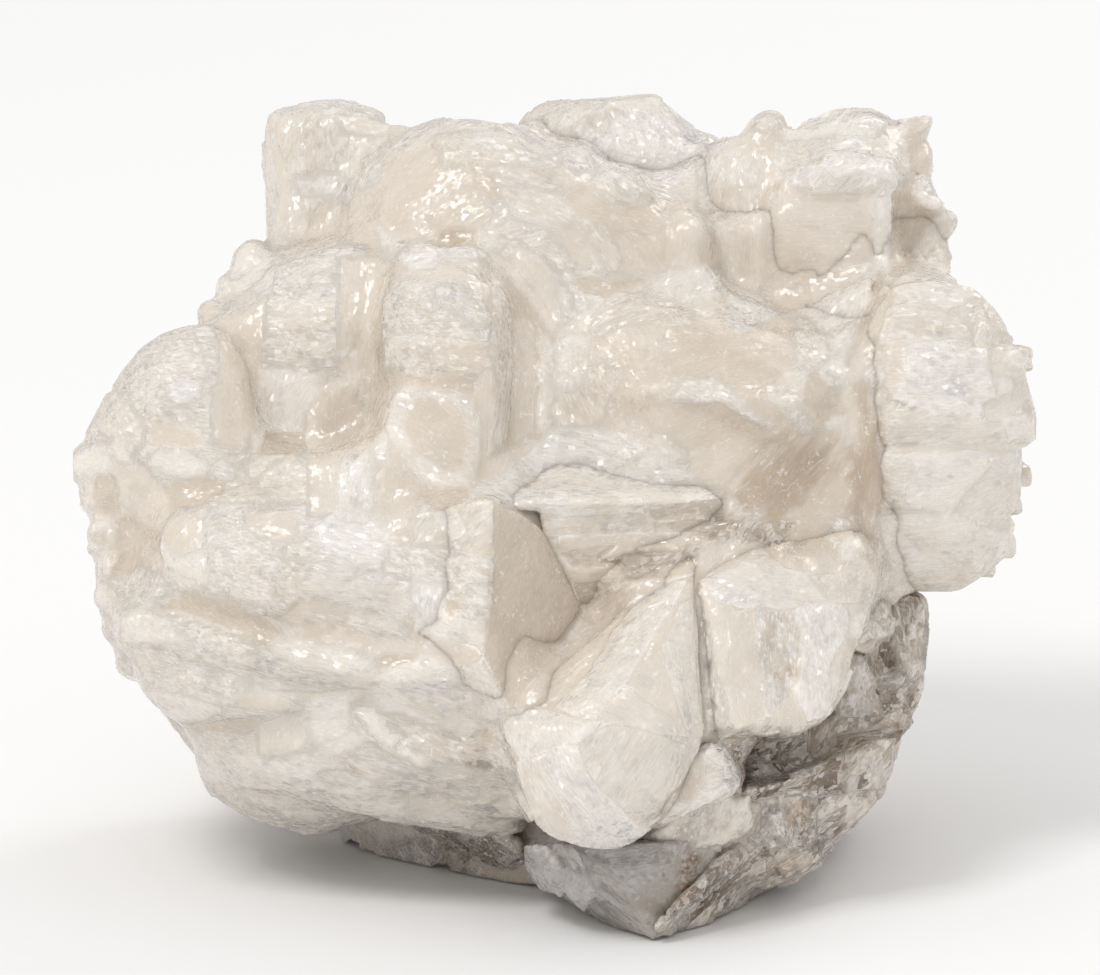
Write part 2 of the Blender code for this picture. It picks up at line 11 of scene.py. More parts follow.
import bmesh
import bpy
import numpy as np
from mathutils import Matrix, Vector


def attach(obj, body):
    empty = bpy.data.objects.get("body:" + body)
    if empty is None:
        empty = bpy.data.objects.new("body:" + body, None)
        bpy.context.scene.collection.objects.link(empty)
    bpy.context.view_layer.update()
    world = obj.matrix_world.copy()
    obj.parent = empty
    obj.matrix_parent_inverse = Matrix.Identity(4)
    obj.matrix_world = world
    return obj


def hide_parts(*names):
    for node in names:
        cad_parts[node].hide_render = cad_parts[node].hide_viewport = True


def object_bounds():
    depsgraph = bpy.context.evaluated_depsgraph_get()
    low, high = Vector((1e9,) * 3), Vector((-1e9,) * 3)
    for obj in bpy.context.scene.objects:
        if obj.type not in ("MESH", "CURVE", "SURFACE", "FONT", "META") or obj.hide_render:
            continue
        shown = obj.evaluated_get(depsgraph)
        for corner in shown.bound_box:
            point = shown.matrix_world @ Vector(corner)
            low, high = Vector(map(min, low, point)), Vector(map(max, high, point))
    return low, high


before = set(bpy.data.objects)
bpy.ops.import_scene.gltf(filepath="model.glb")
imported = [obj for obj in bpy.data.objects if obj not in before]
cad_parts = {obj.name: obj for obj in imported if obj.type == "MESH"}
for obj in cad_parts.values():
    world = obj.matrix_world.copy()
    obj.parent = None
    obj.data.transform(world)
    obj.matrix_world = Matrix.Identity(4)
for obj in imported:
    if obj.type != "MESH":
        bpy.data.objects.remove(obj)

CAD_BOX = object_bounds()
MM = 0.001
# How far above level the viewer stands, the x and y in millimetres that come to lie over the frame's origin, and
# the direction to the viewer
TILT = math.radians(15.0)
MIDDLE = (0.0, 0.8)
TOWARDS = np.array((0.0, -math.cos(TILT), math.sin(TILT)), dtype=np.float32)
# The depth that stands for no crystal, in millimetres
FAR = 80.0
# Hollows between crystals that stay deep: across, up, half width, half height and how deep, in millimetres
HOLLOWS = ((30.0, 15.6, 8.0, 3.0, 5.0), (14.0, 42.4, 7.0, 1.6, 2.0), (-15.0, 0.5, 14.0, 4.0, 4.0),
           (3.0, 36.0, 5.0, 10.0, 4.0), (9.0, 50.0, 13.0, 6.0, 2.5))
# The field in which gaps are looked for, across and up, in millimetres
FIELD = ((-84.0, 84.0), (-24.0, 124.0))
DRAWS = np.random.default_rng(11).random((4096, 3)).astype(np.float32)


# Places and directions

def spot(across, up, depth):
    """The place of a point seen across and up, at a depth behind the middle."""
    return (across, depth, (up - depth * math.sin(TILT)) / math.cos(TILT))


def seen_from_front(place):
    """The picture coordinates of places: across, up and depth, along three square axes."""
    c, s = math.cos(TILT), math.sin(TILT)
    turn = np.array(((1.0, 0.0, 0.0), (0.0, s, c), (0.0, c, -s)), dtype=np.float32)
    return place @ turn


# Noise over whole arrays of places

def draw(i, j, k, seed):
    """Three random numbers from 0 to 1 for each cell of a space lattice, the same ones every time: large odd
    numbers mix the cell's place and the seed to a row of DRAWS."""
    key = (i * 73856093) ^ (j * 19349663) ^ (k * 83492791) ^ (seed * 668265263)
    key = (key ^ (key >> 13)) * 1274126177
    return DRAWS[(key ^ (key >> 16)) & 4095]


def swell(places, seed):
    """Smooth noise from -1 to 1: the random numbers of a cell's eight corners, blended by the place in it."""
    base = np.floor(places)
    part = (places - base).astype(np.float32)
    part = part * part * (3.0 - 2.0 * part)
    base = base.astype(np.int64)
    total = np.zeros(len(places), np.float32)
    for corner in range(8):
        a, b, c = corner & 1, corner >> 1 & 1, corner >> 2
        weight = np.abs(1 - a - part[:, 0]) * np.abs(1 - b - part[:, 1]) * np.abs(1 - c - part[:, 2])
        total += weight * draw(base[:, 0] + a, base[:, 1] + b, base[:, 2] + c, seed)[:, 0]
    return total * 2.0 - 1.0


def swells(places, *seeds):
    """Several smooth noises side by side."""
    return np.stack([swell(places, seed) for seed in seeds], axis=1)


def scatter(places, seed):
    """The nearest of many scattered middles, one in each cell of a lattice: the way to it and its own three random
    numbers."""
    base = np.floor(places).astype(np.int64)
    best = np.full(len(places), 9.0, np.float32)
    offset = np.zeros((len(places), 3), np.float32)
    own = offset.copy()
    for step in range(27):
        cell = base + (step % 3 - 1, step // 3 % 3 - 1, step // 9 - 1)
        numbers = draw(cell[:, 0], cell[:, 1], cell[:, 2], seed)
        away = (places - cell - numbers).astype(np.float32)
        distance = np.einsum("ij,ij->i", away, away)
        nearer = distance < best
        best = np.where(nearer, distance, best)
        offset[nearer] = away[nearer]
        own[nearer] = numbers[nearer][:, (1, 2, 0)]
    return offset, own


# Crystals

def hull(points):
    """The closed shape with flat faces round some points."""
    shape = bmesh.new()
    for point in points:
        shape.verts.new(point)
    bmesh.ops.convex_hull(shape, input=shape.verts)
    inner = [corner for corner in shape.verts if not corner.link_faces]
    bmesh.ops.delete(shape, geom=inner, context="VERTS")
    bmesh.ops.recalc_face_normals(shape, faces=shape.faces)
    return shape


def flat_faces(points):
    """The outward directions, distances and corners of the flat faces round some points."""
    shape = hull(points)
    faces = {(*face.normal, face.normal.dot(face.verts[0].co)) for face in shape.faces if face.calc_area() > 1e-4}
    corners = np.array([corner.co for corner in shape.verts])
    shape.free()
    faces = np.array(sorted(faces))
    _, kept = np.unique(faces.round(2), axis=0, return_index=True)
    return faces[kept, :3], faces[kept, 3], corners


def lattice_faces(number):
    """The corners of the small faces between the numbered points of a lattice."""
    return np.stack([number[:-1, :-1], number[1:, :-1], number[1:, 1:], number[:-1, 1:]], axis=-1)


def box_lattice(counts):
    """The lattice on a box from -1 to 1: two parameters run over each of its six sides, and the sides share
    their seams. Gives the places and the corners of each small face."""
    places, quads, start = [], [], 0
    for u, v, w in ((0, 1, 2), (1, 2, 0), (2, 0, 1)):
        for far in (0, 1):
            steps = np.meshgrid(np.arange(counts[u] + 1), np.arange(counts[v] + 1), indexing="ij")
            place = np.empty((steps[0].size, 3), np.int64)
            place[:, u] = steps[0].ravel()
            place[:, v] = steps[1].ravel()
            place[:, w] = counts[w] * far
            number = np.arange(len(place)).reshape(steps[0].shape) + start
            quads.append(lattice_faces(number).reshape(-1, 4)[:, ::1 if far else -1])
            places.append(place)
            start += len(place)
    places = np.concatenate(places)
    code = (places[:, 0] * (counts[1] + 1) + places[:, 1]) * (counts[2] + 1) + places[:, 2]
    _, first, back = np.unique(code, return_index=True, return_inverse=True)
    return places[first] / counts * 2.0 - 1.0, back.reshape(-1)[np.concatenate(quads)]


def crystal(points, sharp, rounded, spacing):
    """The surface of one crystal, as places and the corners of its small faces.

    Along a way w from the middle, face i is met at 1 / r with r = (direction_i . w) / distance_i. The surface
    lies at 1 / (sum of r_i ^ sharp) ^ (1 / sharp), which is the flat faces with their edges slightly rounded.
    A rounded crystal is drawn towards the ellipsoid through its corners. Where a face comes too close to the middle
    of the box round the crystal, the mean of its corners is the middle.
    """
    closest, fewest = 0.15, 5
    directions, distances, corners = flat_faces(points)
    low, high = corners.min(axis=0), corners.max(axis=0)
    middle = (low + high) / 2.0
    if (distances - directions @ middle).min() < closest * (high - low).min():
        middle = corners.mean(axis=0)
    reach = distances - directions @ middle
    counts = np.maximum(fewest, np.round((high - low) / spacing)).astype(int)
    ways, quads = box_lattice(counts)
    ways = ways * (high - low) / 2.0
    ratio = np.clip(ways @ directions.T / reach, 0.0, None)
    most = ratio.max(axis=1, keepdims=True)
    total = ((ratio / most) ** sharp).sum(axis=1, keepdims=True)
    place = middle + ways / (most * total ** (1.0 / sharp))
    if rounded:
        spread = np.linalg.inv(np.cov((corners - middle).T))
        ball = np.sqrt(np.einsum("ij,jk,ik->i", ways, spread, ways))
        ball /= np.sqrt(np.einsum("ij,jk,ik->i", corners - middle, spread, corners - middle)).mean()
        place += rounded * (middle + ways / ball[:, None] - place)
    return place, quads


# Finishes of faces. Each relief takes places, the same places along the grain, a seed, its height, and how long
# and wide its forms are

def ribs(place, grain, seed, height, long, wide):
    """Ribs along the threads: smooth noise drawn out along the grain, with finer ribs on it."""
    broad = swell(grain / (long, wide, wide), seed)
    fine = swell(grain / (0.5 * long, 0.45 * wide, 0.45 * wide), seed + 1)
    return height * (broad + 0.45 * fine)


def grit(place, grain, seed, height, long, wide):
    """Rough broken grains, folded to small peaks."""
    rough = 1.0 - 2.0 * np.abs(swell(place / wide, seed))
    fine = 0.6 * swell(place / (0.5 * wide), seed + 1)
    return height * (rough + fine) * (0.6 + 0.4 * swell(place / long, seed + 2))


def steps(place, grain, seed, height, long, wide):
    """Low steps: patches round scattered middles, drawn out along the grain, each at its own level and lean."""
    bent = 0.25 * swells(place / (0.6 * wide), seed + 1, seed + 2, seed + 3)
    offset, own = scatter(grain / (long, wide, wide) + bent, seed)
    return height * (own[:, 0] - 0.5 + 0.9 * np.einsum("ij,ij->i", offset, own - 0.5))


# For each finish: how far threads, snow, warmth and smoke show, how soft and how ragged its border is in
# millimetres, and its relief
FINISHES = {
    "fibrous": ((1.0, 0.15, 0.05, 0.0), 1.0, 0.9, (ribs, 0.26, 9.0, 1.5)),
    "silky": ((0.5, 0.08, 0.1, 0.0), 1.0, 0.8, (ribs, 0.15, 10.0, 1.8)),
    "smooth": ((0.1, 0.0, 0.2, 0.0), 1.0, 0.6, (steps, 0.25, 6.0, 3.6)),
    # deep: recessed faces; their darker beige is painted shade
    "deep": ((0.1, 0.0, 0.5, 0.05), 1.0, 0.5, (steps, 0.2, 8.0, 3.6)),
    "pale": ((0.15, 0.3, 0.0, 0.0), 1.0, 0.7, (steps, 0.3, 5.0, 3.0)),
    "frosty": ((0.35, 0.55, 0.0, 0.0), 0.9, 1.0, (grit, 0.26, 5.0, 1.6)),
    "crusty": ((0.15, 0.15, 0.15, 0.06), 1.0, 0.9, (grit, 0.24, 4.5, 1.5)),
    "stepped": ((0.15, 0.05, 0.2, 0.0), 0.9, 0.7, (steps, 0.7, 4.0, 2.6)),
    "grey": ((0.6, 0.05, 0.1, 0.14), 0.9, 0.6, (ribs, 0.18, 12.0, 1.8)),
    "window": ((0.1, 0.0, 0.25, 0.2), 0.6, 0.3, (steps, 0.2, 8.0, 3.0)),
    "brown": ((0.15, 0.0, 0.3, 0.5), 0.7, 0.4, (steps, 0.6, 5.0, 2.6)),
    "glint": ((0.2, 0.3, 0.0, 0.2), 0.6, 0.5, (steps, 0.9, 2.6, 1.7)),
}
SHOWN = ("threads", "snow", "warm", "smoke")
# In millimetres: how far from every border a scattered face counts as lying, and the frame round an outline in which
# points are looked at. Then how much of a face's lift and of its relief is carried out, the softness of borders that
# the materials' painted shade lines and highlight rims were drawn for, and how far from a border its value is kept
OPEN, MARGIN = 3.0, 3.0
LIFT, RELIEF = 0.5, 0.7
BORDER_SOFTNESS, BORDER_REACH = 0.2, 1.5


def edge_distance(seen, outline):
    """How far points lie inside an outline, negative outside: the distance to the nearest of its edges. A point is
    inside if a line from it crosses the outline an odd number of times."""
    start = np.array(outline, np.float32)
    along = np.roll(start, -1, axis=0) - start
    away = seen[:, None, :] - start[None]
    part = np.clip((away * along).sum(axis=2) / (along * along).sum(axis=1), 0.0, 1.0)
    nearest = np.sqrt(((away - part[..., None] * along) ** 2).sum(axis=2).min(axis=1))
    above = away[..., 1] >= 0.0
    crossing = above != np.roll(above, -1, axis=1)
    left = away[..., 0] * along[:, 1] < away[..., 1] * along[:, 0]
    inside = (crossing & (left == (along[:, 1] > 0.0))).sum(axis=1) % 2 == 1
    return np.where(inside, nearest, -nearest)


def with_grain(seen, angle):
    """Picture coordinates turned by an angle in degrees, or one for each, so that the first runs along the
    threads."""
    c, s = np.cos(np.radians(angle)), np.sin(np.radians(angle))
    return np.stack([c * seen[:, 0] + s * seen[:, 1], c * seen[:, 1] - s * seen[:, 0], seen[:, 2]], axis=1)


def scattered_faces(place, seen, seed, size, angle, lift):
    """Faces where none is laid: patches round scattered middles, each at its own level and lean.

    Its three random numbers also turn its threads by whole steps of 18 degrees and give its finish, from fibrous
    over snowy to warm. Gives the height, the grain, the distance to a border and what shows.
    """
    bent = 0.22 * swells(place / (0.55 * size), seed + 1, seed + 2, seed + 3)
    bent += 0.05 * swells(place / (0.14 * size), seed + 4, seed + 5, seed + 6)
    offset, own = scatter(with_grain(seen, angle) / (1.5 * size, size, size) + bent, seed)
    grain = with_grain(seen, np.round((own[:, 1] - 0.5) * 4.0) * 18.0 + angle)
    height = lift * (own[:, 0] - 0.55 + 1.2 * np.einsum("ij,ij->i", offset, own - 0.5))
    kind = own[:, 2]
    shown = np.stack([np.clip(1.0 - 1.8 * kind, 0.1, 1.0), np.clip(0.3 - 1.2 * np.abs(kind - 0.35), 0.0, 1.0),
                      np.clip(kind * 0.9 - 0.4, 0.0, 0.5), np.zeros(len(place))], axis=1).astype(np.float32)
    height = height + np.where(kind < 0.55, 1.0, 0.4) * ribs(place, grain, seed + 9, 0.22, 9.0, 1.7)
    return height.astype(np.float32), grain.astype(np.float32), np.full(len(place), OPEN, np.float32), shown


def lay_faces(name, place, facing, faces, blur, size, angle, lift):
    """Lays the faces of a part over its surface, one after another.

    Each face moves the surface to its own lift and relief inside its outline and blends over the softness of its
    border, only where the surface faces the viewer. Gives the height in millimetres and the values that the
    materials read: grain, the distance to the nearest border, negative on its lower side, and what shows.
    """
    seed = 97 * sum(map(ord, name))
    seen = seen_from_front(place)
    height, grain, border, shown = scattered_faces(place, seen, seed, size, angle, lift)
    grazing, fade = 0.12, 0.25
    towards = np.clip((facing @ TOWARDS - grazing) / fade, 0.0, 1.0)
    wander = 0.7 * swells(place / 2.6, seed + 11, seed + 13) + 0.35 * swells(place, seed + 12, seed + 14)
    for number, (finish, rise, turn, *outline) in enumerate(faces):
        outline = np.reshape(outline, (-1, 2))
        values, soft, ragged, (relief, tall, long, wide) = FINISHES[finish]
        low, high = np.min(outline, axis=0) - MARGIN, np.max(outline, axis=0) + MARGIN
        near = (seen[:, :2] > low).all(axis=1) & (seen[:, :2] < high).all(axis=1) & (towards > 0.0)
        near = np.flatnonzero(near)
        flat = seen[near, :2] + blur * ragged * wander[near]
        inside = edge_distance(flat, outline)
        cover = np.clip(inside / (blur * soft) + 0.5, 0.0, 1.0)
        cover = (cover * cover * (3.0 - 2.0 * cover) * towards[near]).astype(np.float32)
        own = with_grain(seen[near], turn)
        level = LIFT * rise + relief(place[near], own, seed + 7 * number, RELIEF * tall, long, wide)
        height[near] += cover * (level - height[near])
        over = cover > 0.5
        grain[near[over]] = own[over]
        signed = inside if rise >= 0.0 else -inside
        closer = over | ((towards[near] > 0.5) & (np.abs(inside) < np.abs(border[near])))
        border[near[closer]] = signed[closer]
        shown[near] += cover[:, None] * (np.array(values, np.float32) - shown[near])
    values = {"grain": grain, "border": np.clip(border * blur / BORDER_SOFTNESS, -BORDER_REACH, BORDER_REACH)}
    values.update({key: shown[:, side] for side, key in enumerate(SHOWN)})
    return height, values


# Corners of crystals, in millimetres, each crystal with the kind of its edges

def tablet(edge, outline, near, thick, lean=(0.0, 0.0), inset=1.5, rim=2.4, back=0.9):
    """A tabular crystal: a front face inset from the outline, the outline with a little outset at the depth of
    the rim, and a smaller back.

    near is the depth of the middle of the front face, thick its distance to the back, and lean how much
    deeper the front face lies for each millimetre across and up. inset and rim are in millimetres, and back is
    the size of the back in parts of the outline's.
    """
    outset, rim_lean = 0.7, 0.85
    outline = np.reshape(outline, (-1, 2))
    middle = np.mean(outline, axis=0)
    reach = np.mean([math.dist(place, middle) for place in outline])
    points = []
    for scale, step, slope in ((1.0 - inset / reach, 0.0, 1.0), (1.0 + outset / reach, rim, rim_lean),
                               (back, thick, 0.0)):
        for off in (outline - middle) * scale:
            points.append(spot(*(middle + off), near + step + slope * float(np.dot(lean, off))))
    return edge, points


def gem(edge, *places):
    """A crystal whose corners are given one by one, as across, up and depth."""
    return edge, [spot(*place) for place in np.reshape(places, (-1, 3))]


def lump(across, up, depth, wide, tall, deep, turn=0.0):
    """A round knob: two rings of eight corners between two poles, turned in the picture by some degrees."""
    c, s = math.cos(math.radians(turn)), math.sin(math.radians(turn))
    points = []
    rings = [(level, ring, math.tau * step / 8) for level, ring in ((-0.55, 0.84), (0.45, 0.9)) for step in range(8)]
    for level, ring, angle in rings + [(-1.0, 0.0, 0.0), (1.0, 0.0, 0.0)]:
        a, b = wide * ring * math.cos(angle), tall * level
        points.append(spot(across + a * c - b * s, up + a * s + b * c, depth + deep * ring * math.sin(angle)))
    return "knob", points


def block(middle, size, turn=0.0, tilt=0.0, chamfer=0.25):
    """A chamfered block at x, y and height, tilted sideways, then turned about the vertical."""
    points = []
    for axis in range(3):
        for signs in range(8):
            x, y, z = (size[side] * (0.5 if signs >> side & 1 else -0.5) * (1.0 if side == axis else 1.0 - chamfer)
                       for side in range(3))
            x, z = x * math.cos(tilt) - z * math.sin(tilt), x * math.sin(tilt) + z * math.cos(tilt)
            points.append((middle[0] + x * math.cos(turn) - y * math.sin(turn),
                           middle[1] + x * math.sin(turn) + y * math.cos(turn), middle[2] + z))
    return "keen", points


# The crystals of each part of the cluster. Each kind of edge has a sharpness and a roundness

EDGES = {"keen": (60, 0.0), "blocky": (30, 0.0), "worn": (16, 0.15), "knob": (10, 0.75)}

HEART = [(x, y, height) for height, ring in (
    (-3.0, [-30,5, -20,3, -8,-5, 4,-20, 24,-22, 34,-6, 38,10, 36,24, 20,33, -12,32, -30,22]),
    (40.0, [-48,-6, -22,-20, 16,-14, 42,-6, 46,20, 22,42, -20,43, -50,22]),
    (70.0, [-48,-2, -20,-8, 12,-6, 42,2, 50,20, 26,42, -20,42, -50,20]),
    (93.0, [-30,14, -8,8, 16,12, 34,20, 28,36, -18,36])) for x, y in np.reshape(ring, (-1, 2))]


def crest():
    """The rough tower at the left, the rounded crest before it and the smooth knobs that step down to its right."""
    tower = [-41,84, -42.2,93.5, -42.9,103, -42.3,108.4, -40.8,109.4, -38.5,109.1, -35.5,110.3, -31,110.6, -27,109.7,
        -24.9,108.6, -24.3,104, -24.2,94, -25,84, -33,81]
    left = [-31,84, -29.8,95, -28.5,99, -24.5,103.6, -21,105.9, -18.5,107.6, -13.5,108.2, -8.5,107.9, -5.5,106.6,
        -3,103, -2,96, -3,86, -12,80, -24,82]
    right = [-9,104.5, -5.5,105.5, -2,103.2, 3,100.8, 9,98, 14,95.2, 19,93.6, 22,90.6, 24,86.5, 24,80, 12,77, 0,79,
        -8,84]
    bed = [-29,82, -28,97, -21,105, -8,106.4, -2,101, 10,95.6, 21,90, 23,78, 0,76, -14,78]
    cup = [-12,88, -9,90.6, -3,89.6, 0.4,86.5, 2.8,82.5, 3,76, -2,71, -10,74]
    return [
        tablet("blocky", tower, 17, 24, (-0.1, 0.15), 3, 7.2),
        tablet("worn", bed, 3.4, 22, (0, 0.6), 3, 6),
        tablet("worn", left, 2, 24, (-0.35, 0.55), 4.5, 6.5, back=0.75),
        tablet("worn", right, 1, 24, (0.4, 0.65), 4, 5.8, back=0.75),
        tablet("worn", cup, -7, 20, (0.35, 0.4), 3, 4.6),
        lump(3.3, 100.8, 12, 2.4, 2.7, 5), lump(9.7, 96.7, 9, 5.2, 3.2, 7, turn=-33),
        lump(19.4, 89, 7, 3.9, 6, 8, turn=12),
    ]


def back_blocks():
    """The snowy block behind the crest and the tall block at the back right with its shelf and smooth lower face."""
    snowy = [-6,105, -4,108.6, -1,110.2, 3,110.3, 7,109.9, 12,110.9, 15,111.4, 18,109, 20,107.2, 22,104.6, 24.5,102,
        25,93, 6,92, -4,97]
    ridge = gem("keen", 7,109.6,32, 14.8,111.2,31, 17.6,101,22, 16,96,21, 9,98,22, 2,103,25, 22,103.6,30, 20,94,25,
        12,100,40)
    dome = [31,99, 33,104.5, 36,107.4, 40,109, 44,110, 47.5,109.8, 49.6,107.6, 53.2,104, 54.4,97, 52,90, 40,88, 32,92]
    side_ribs = [21.8,102.6, 24.5,104.6, 28,104.6, 32,104, 32.5,92, 31,83, 25,83, 21,93]
    rib = [25.5,101, 28,105.6, 30.3,108, 32.8,107.6, 33.6,104, 32.6,94, 28,92]
    shelf = [32.6,97, 34,99.6, 40,102, 45,102, 49,100.6, 49.2,96.6, 47,94.6, 36,94.8]
    lower_face = [31,94.5, 34,96.2, 40,96.6, 46.5,96, 47.2,94, 47.2,86, 39.5,78.5, 33,76.5, 30,84]
    side_face = [24.5,92.5, 29,94.6, 32,93.5, 32.5,84, 30,78, 25,80, 23.4,86]
    column = [45,97.4, 48.6,97.2, 48.8,92, 47.6,84, 45.2,84.6]
    slanted = [51.6,84.2, 55,88, 58.6,91.6, 58.2,93.4, 56.6,94.2, 54.6,93.4, 51.5,89.6, 49.5,85.5]
    horn = [47.5,101, 49,106.8, 52.5,107.9, 55,108.3, 55.6,107.3, 54.3,105, 52.8,102.2, 51,99]
    brown_side = [48,98.5, 52,99.6, 55,97.6, 56.6,95, 56.4,91, 53,85, 48,84]
    bump = [52.5,100.6, 53.8,103.2, 54.9,103.2, 55.2,100.4, 54.6,97.4, 53,97.4]
    return [
        tablet("blocky", snowy, 27, 24, (0.05, 0.5), 3, 6.5),
        ridge,
        tablet("worn", dome, 14, 32, (0.12, 0.6), 4.5, 8.6),
        tablet("worn", side_ribs, 13, 24, (-0.35, 0.35), 2),
        tablet("worn", rib, 16, 18, (-0.1, 0.3), 1.4),
        tablet("worn", shelf, 7.6, 20, (0, 0.4), 1.6, 2),
        tablet("blocky", lower_face, 6.5, 28, (0, 0.12), 1.2),
        tablet("blocky", side_face, 9, 22, (-0.4, 0.2), 1.4),
        tablet("blocky", column, 6.5, 18, (0.1, 0.1), 0.7),
        tablet("blocky", slanted, 15, 12, (0.4, 0.1), 1),
        tablet("worn", horn, 21, 14, (0.3, 0.2), 1.4),
        tablet("worn", brown_side, 16, 22, (0.4, 0.1), 1.6),
        tablet("worn", bump, 20, 12, (0.4, 0.1), 0.6),
        lump(54.6, 94.5, 17, 2.4, 1.8, 4, turn=-15),
    ]


def tower_right():
    """The rounded upright block at the right, layered level, with the bright blade that leans on it."""
    body = [45.5,80, 47,82.8, 49.5,84.3, 55,84.2, 60,83.5, 62.5,82, 64.5,78.8, 66.6,74.4, 68.3,70, 69.4,65, 69.3,61,
        68.6,57, 67.4,53, 66.2,49.5, 64.8,44.2, 61.5,41, 58,38.5, 49,38.8, 46.8,42, 45,47, 43.3,57, 41.4,66, 43,74]
    upper = [46.6,79.5, 49,82.6, 54,83.4, 60,82.4, 63.6,78.8, 65.6,74.8, 58,73.6, 48,73.6, 45.2,75.5]
    middle = [46.4,73.4, 58,74.2, 66.8,73.6, 69.2,65, 68.6,60, 58,59.4, 46.4,60, 45.2,66]
    low = [46.6,58.6, 58,59.2, 67.6,58.6, 66.6,50.4, 62,49.2, 50,49.4, 46.4,52]
    foot = [47,48.6, 58,49.2, 66,48.8, 65,44, 61.8,41.2, 58.4,38.9, 50,39.2, 47.4,43]
    flakes = [(67.6, 62.6, 2.2), (67, 55.4, 2), (65.6, 51, 1.8), (64.2, 45.4, 2.1), (61.6, 42.2, 1.8),
        (66.6, 72.2, 2.2)]
    blade = gem("keen", 33.2,79.3,4, 37,77.6,0, 40,74.5,-4, 41.8,72.2,-7, 43.2,75,-6.5, 45.6,81,-4, 46.2,84.3,1,
        44.5,83.4,3, 41.5,81.4,5, 39,80.2,6, 40,74,14, 46,79,16)
    return [
        tablet("worn", body, -13, 40, (0.12, 0.15), 6, 8.4, back=0.7),
        tablet("blocky", upper, -11, 18, (0.15, 0.75), 2.5),
        tablet("blocky", middle, -15.6, 16, (0.2, 0.1), 2.4),
        tablet("blocky", low, -15.2, 14, (0.25, -0.05), 2.2),
        tablet("blocky", foot, -12.8, 16, (0.25, -0.35), 1.8),
        blade,
    ] + [tablet("blocky", [across - size, up - 0.6 * size, across - size, up + size, across + 0.9 * size,
                           up + 0.7 * size, across + size, up - 0.7 * size], -4, 14, inset=0.4, rim=1.2)
         for across, up, size in flakes]


def middle_block():
    """The big ridged block in the middle with its fan facet, and the leaning plates below it."""
    left = gem("keen", 0,74,-3, 2,75.5,-3, 8,81.3,0, 15,84.2,2, 22,85,3, 24,80,-6, 0.3,68,-14, 14,68,-23, 24,66.7,-24,
        0,62,-13, 10,60,-18, 20,54,-16, 23,53.5,-15, 12,72,16, 4,64,10, 22,60,12)
    right = gem("keen", 20,84,1, 26,81.5,0, 31,80,-1, 36,78,-3, 40,73.5,-7, 42.3,70,-9, 22,67,-24.5, 27,66.5,-25,
        31,64,-25, 40.5,66.5,-16, 43,60,-9, 43.8,51,-7, 38,49.5,-8, 28,49.5,-10, 23,53.5,-14, 34,66,16, 24,60,12)
    fan_facet = gem("keen", 36,77.5,-6, 40,73.5,-9, 42,70,-11, 40.5,66.5,-18, 36,68.5,-19, 34,73,-15, 38,70,0)
    step_left = [1.5,69, 2,75, 7,80, 13,81, 17,78, 15,73.5, 18,71, 14,68.5, 6,68]
    step_top = [13,80, 15.5,83.6, 22,84.4, 26,81, 25,77, 19,76.5]
    step_right = [16,69, 19,73, 18,76, 24,77, 30,76.5, 33,72, 31,67, 27,66.8, 20,67.2]
    side = [40,49, 39.5,72, 43,79, 48,80, 48,50]
    crystals = [
        left, right, fan_facet,
        tablet("worn", side, -5, 20, (0.2, 0.3), 1),
        gem("worn", -3,60,-6, -3,80,0, 3,80,2, 4,60,-8, 0,56,4, 0,84,8, -4,70,10, 5,70,10),
        tablet("blocky", step_left, -14.9, 12, (-0.3, 0.95), 1.6),
        tablet("blocky", step_top, -3.2, 10, (-0.1, 0.9), 1.4),
        tablet("blocky", step_right, -17.6, 12, (0.15, 1.15), 1.6),
    ]
    for step in range(4):
        left_side, low = 26.5 + 3.2 * step, 40.5 + 1.3 * step
        sheet = [left_side, low + 1.5, left_side + 3.5, 51, 44.5, 51.5, 44.8, 47 - step, 42.5, low]
        crystals.append(tablet("keen", sheet, -17.5 + 1.6 * step, 16, (0.25, 0.5), 0.6))
    return crystals


def wedge():
    """The wedge of thin plates in the hollow left of the middle block, under a rough frosty top."""
    top = gem("blocky", -12,53.5,-24, -8,56.5,-19, -4,61,-12, 0,62.3,-11, 5,61.7,-11, 13,59,-13, 19,56,-15,
        25.5,51.8,-17, 27.8,49.3,-19, 24,52.2,-24, 2,51.5,-31, -8,50.5,-30, 0,48,-10, 22,50,-10)
    front = gem("blocky", -2,51.8,-30.4, 24,52.4,-23.6, 27.8,49.6,-19.6, 27.2,48.6,-19, 20,44.5,-21, 9,38,-24,
        3,33.5,-27, 0,42,-29.4, -2,46,-30, -4,50,-8, 24,50,-8, 6,36,-10)
    return [top, front]


def column_block():
    """The swollen block left of the middle: a fibrous front over a smooth plate, a waved side and knobs on top."""
    body = gem("worn", -24,82,-13, -21,86.5,-8, -11,87,-9, -9.5,80,-20, -9,70,-25, -9.5,59,-26, -14,54,-25,
        -22,56,-20, -25.5,66,-17, -4,84,-4, -1,79,-4, 0.3,74,-5, 0.3,64,-8, -2,59,-12, -5,56,-18, -12,70,16)
    plate = [-24.3,62, -23.4,66, -21,68.3, -15,68.4, -11.5,66, -10.4,61, -11.4,56, -14.4,53.4, -18.6,53.2, -22.6,56]
    front = [-24.6,69, -24.8,76, -24,82, -20,85, -12,84.6, -9.4,80, -9,71, -14,67]
    return [
        body,
        tablet("worn", front, -20.4, 14, (-0.35, 0.4), 2.2),
        tablet("worn", plate, -25.4, 16, (-0.1, 0.15), 2),
        lump(-19.3, 85.6, -8, 4.2, 3.4, 6, turn=10), lump(-13.2, 86.2, -7, 4, 2.8, 6, turn=-8),
    ]


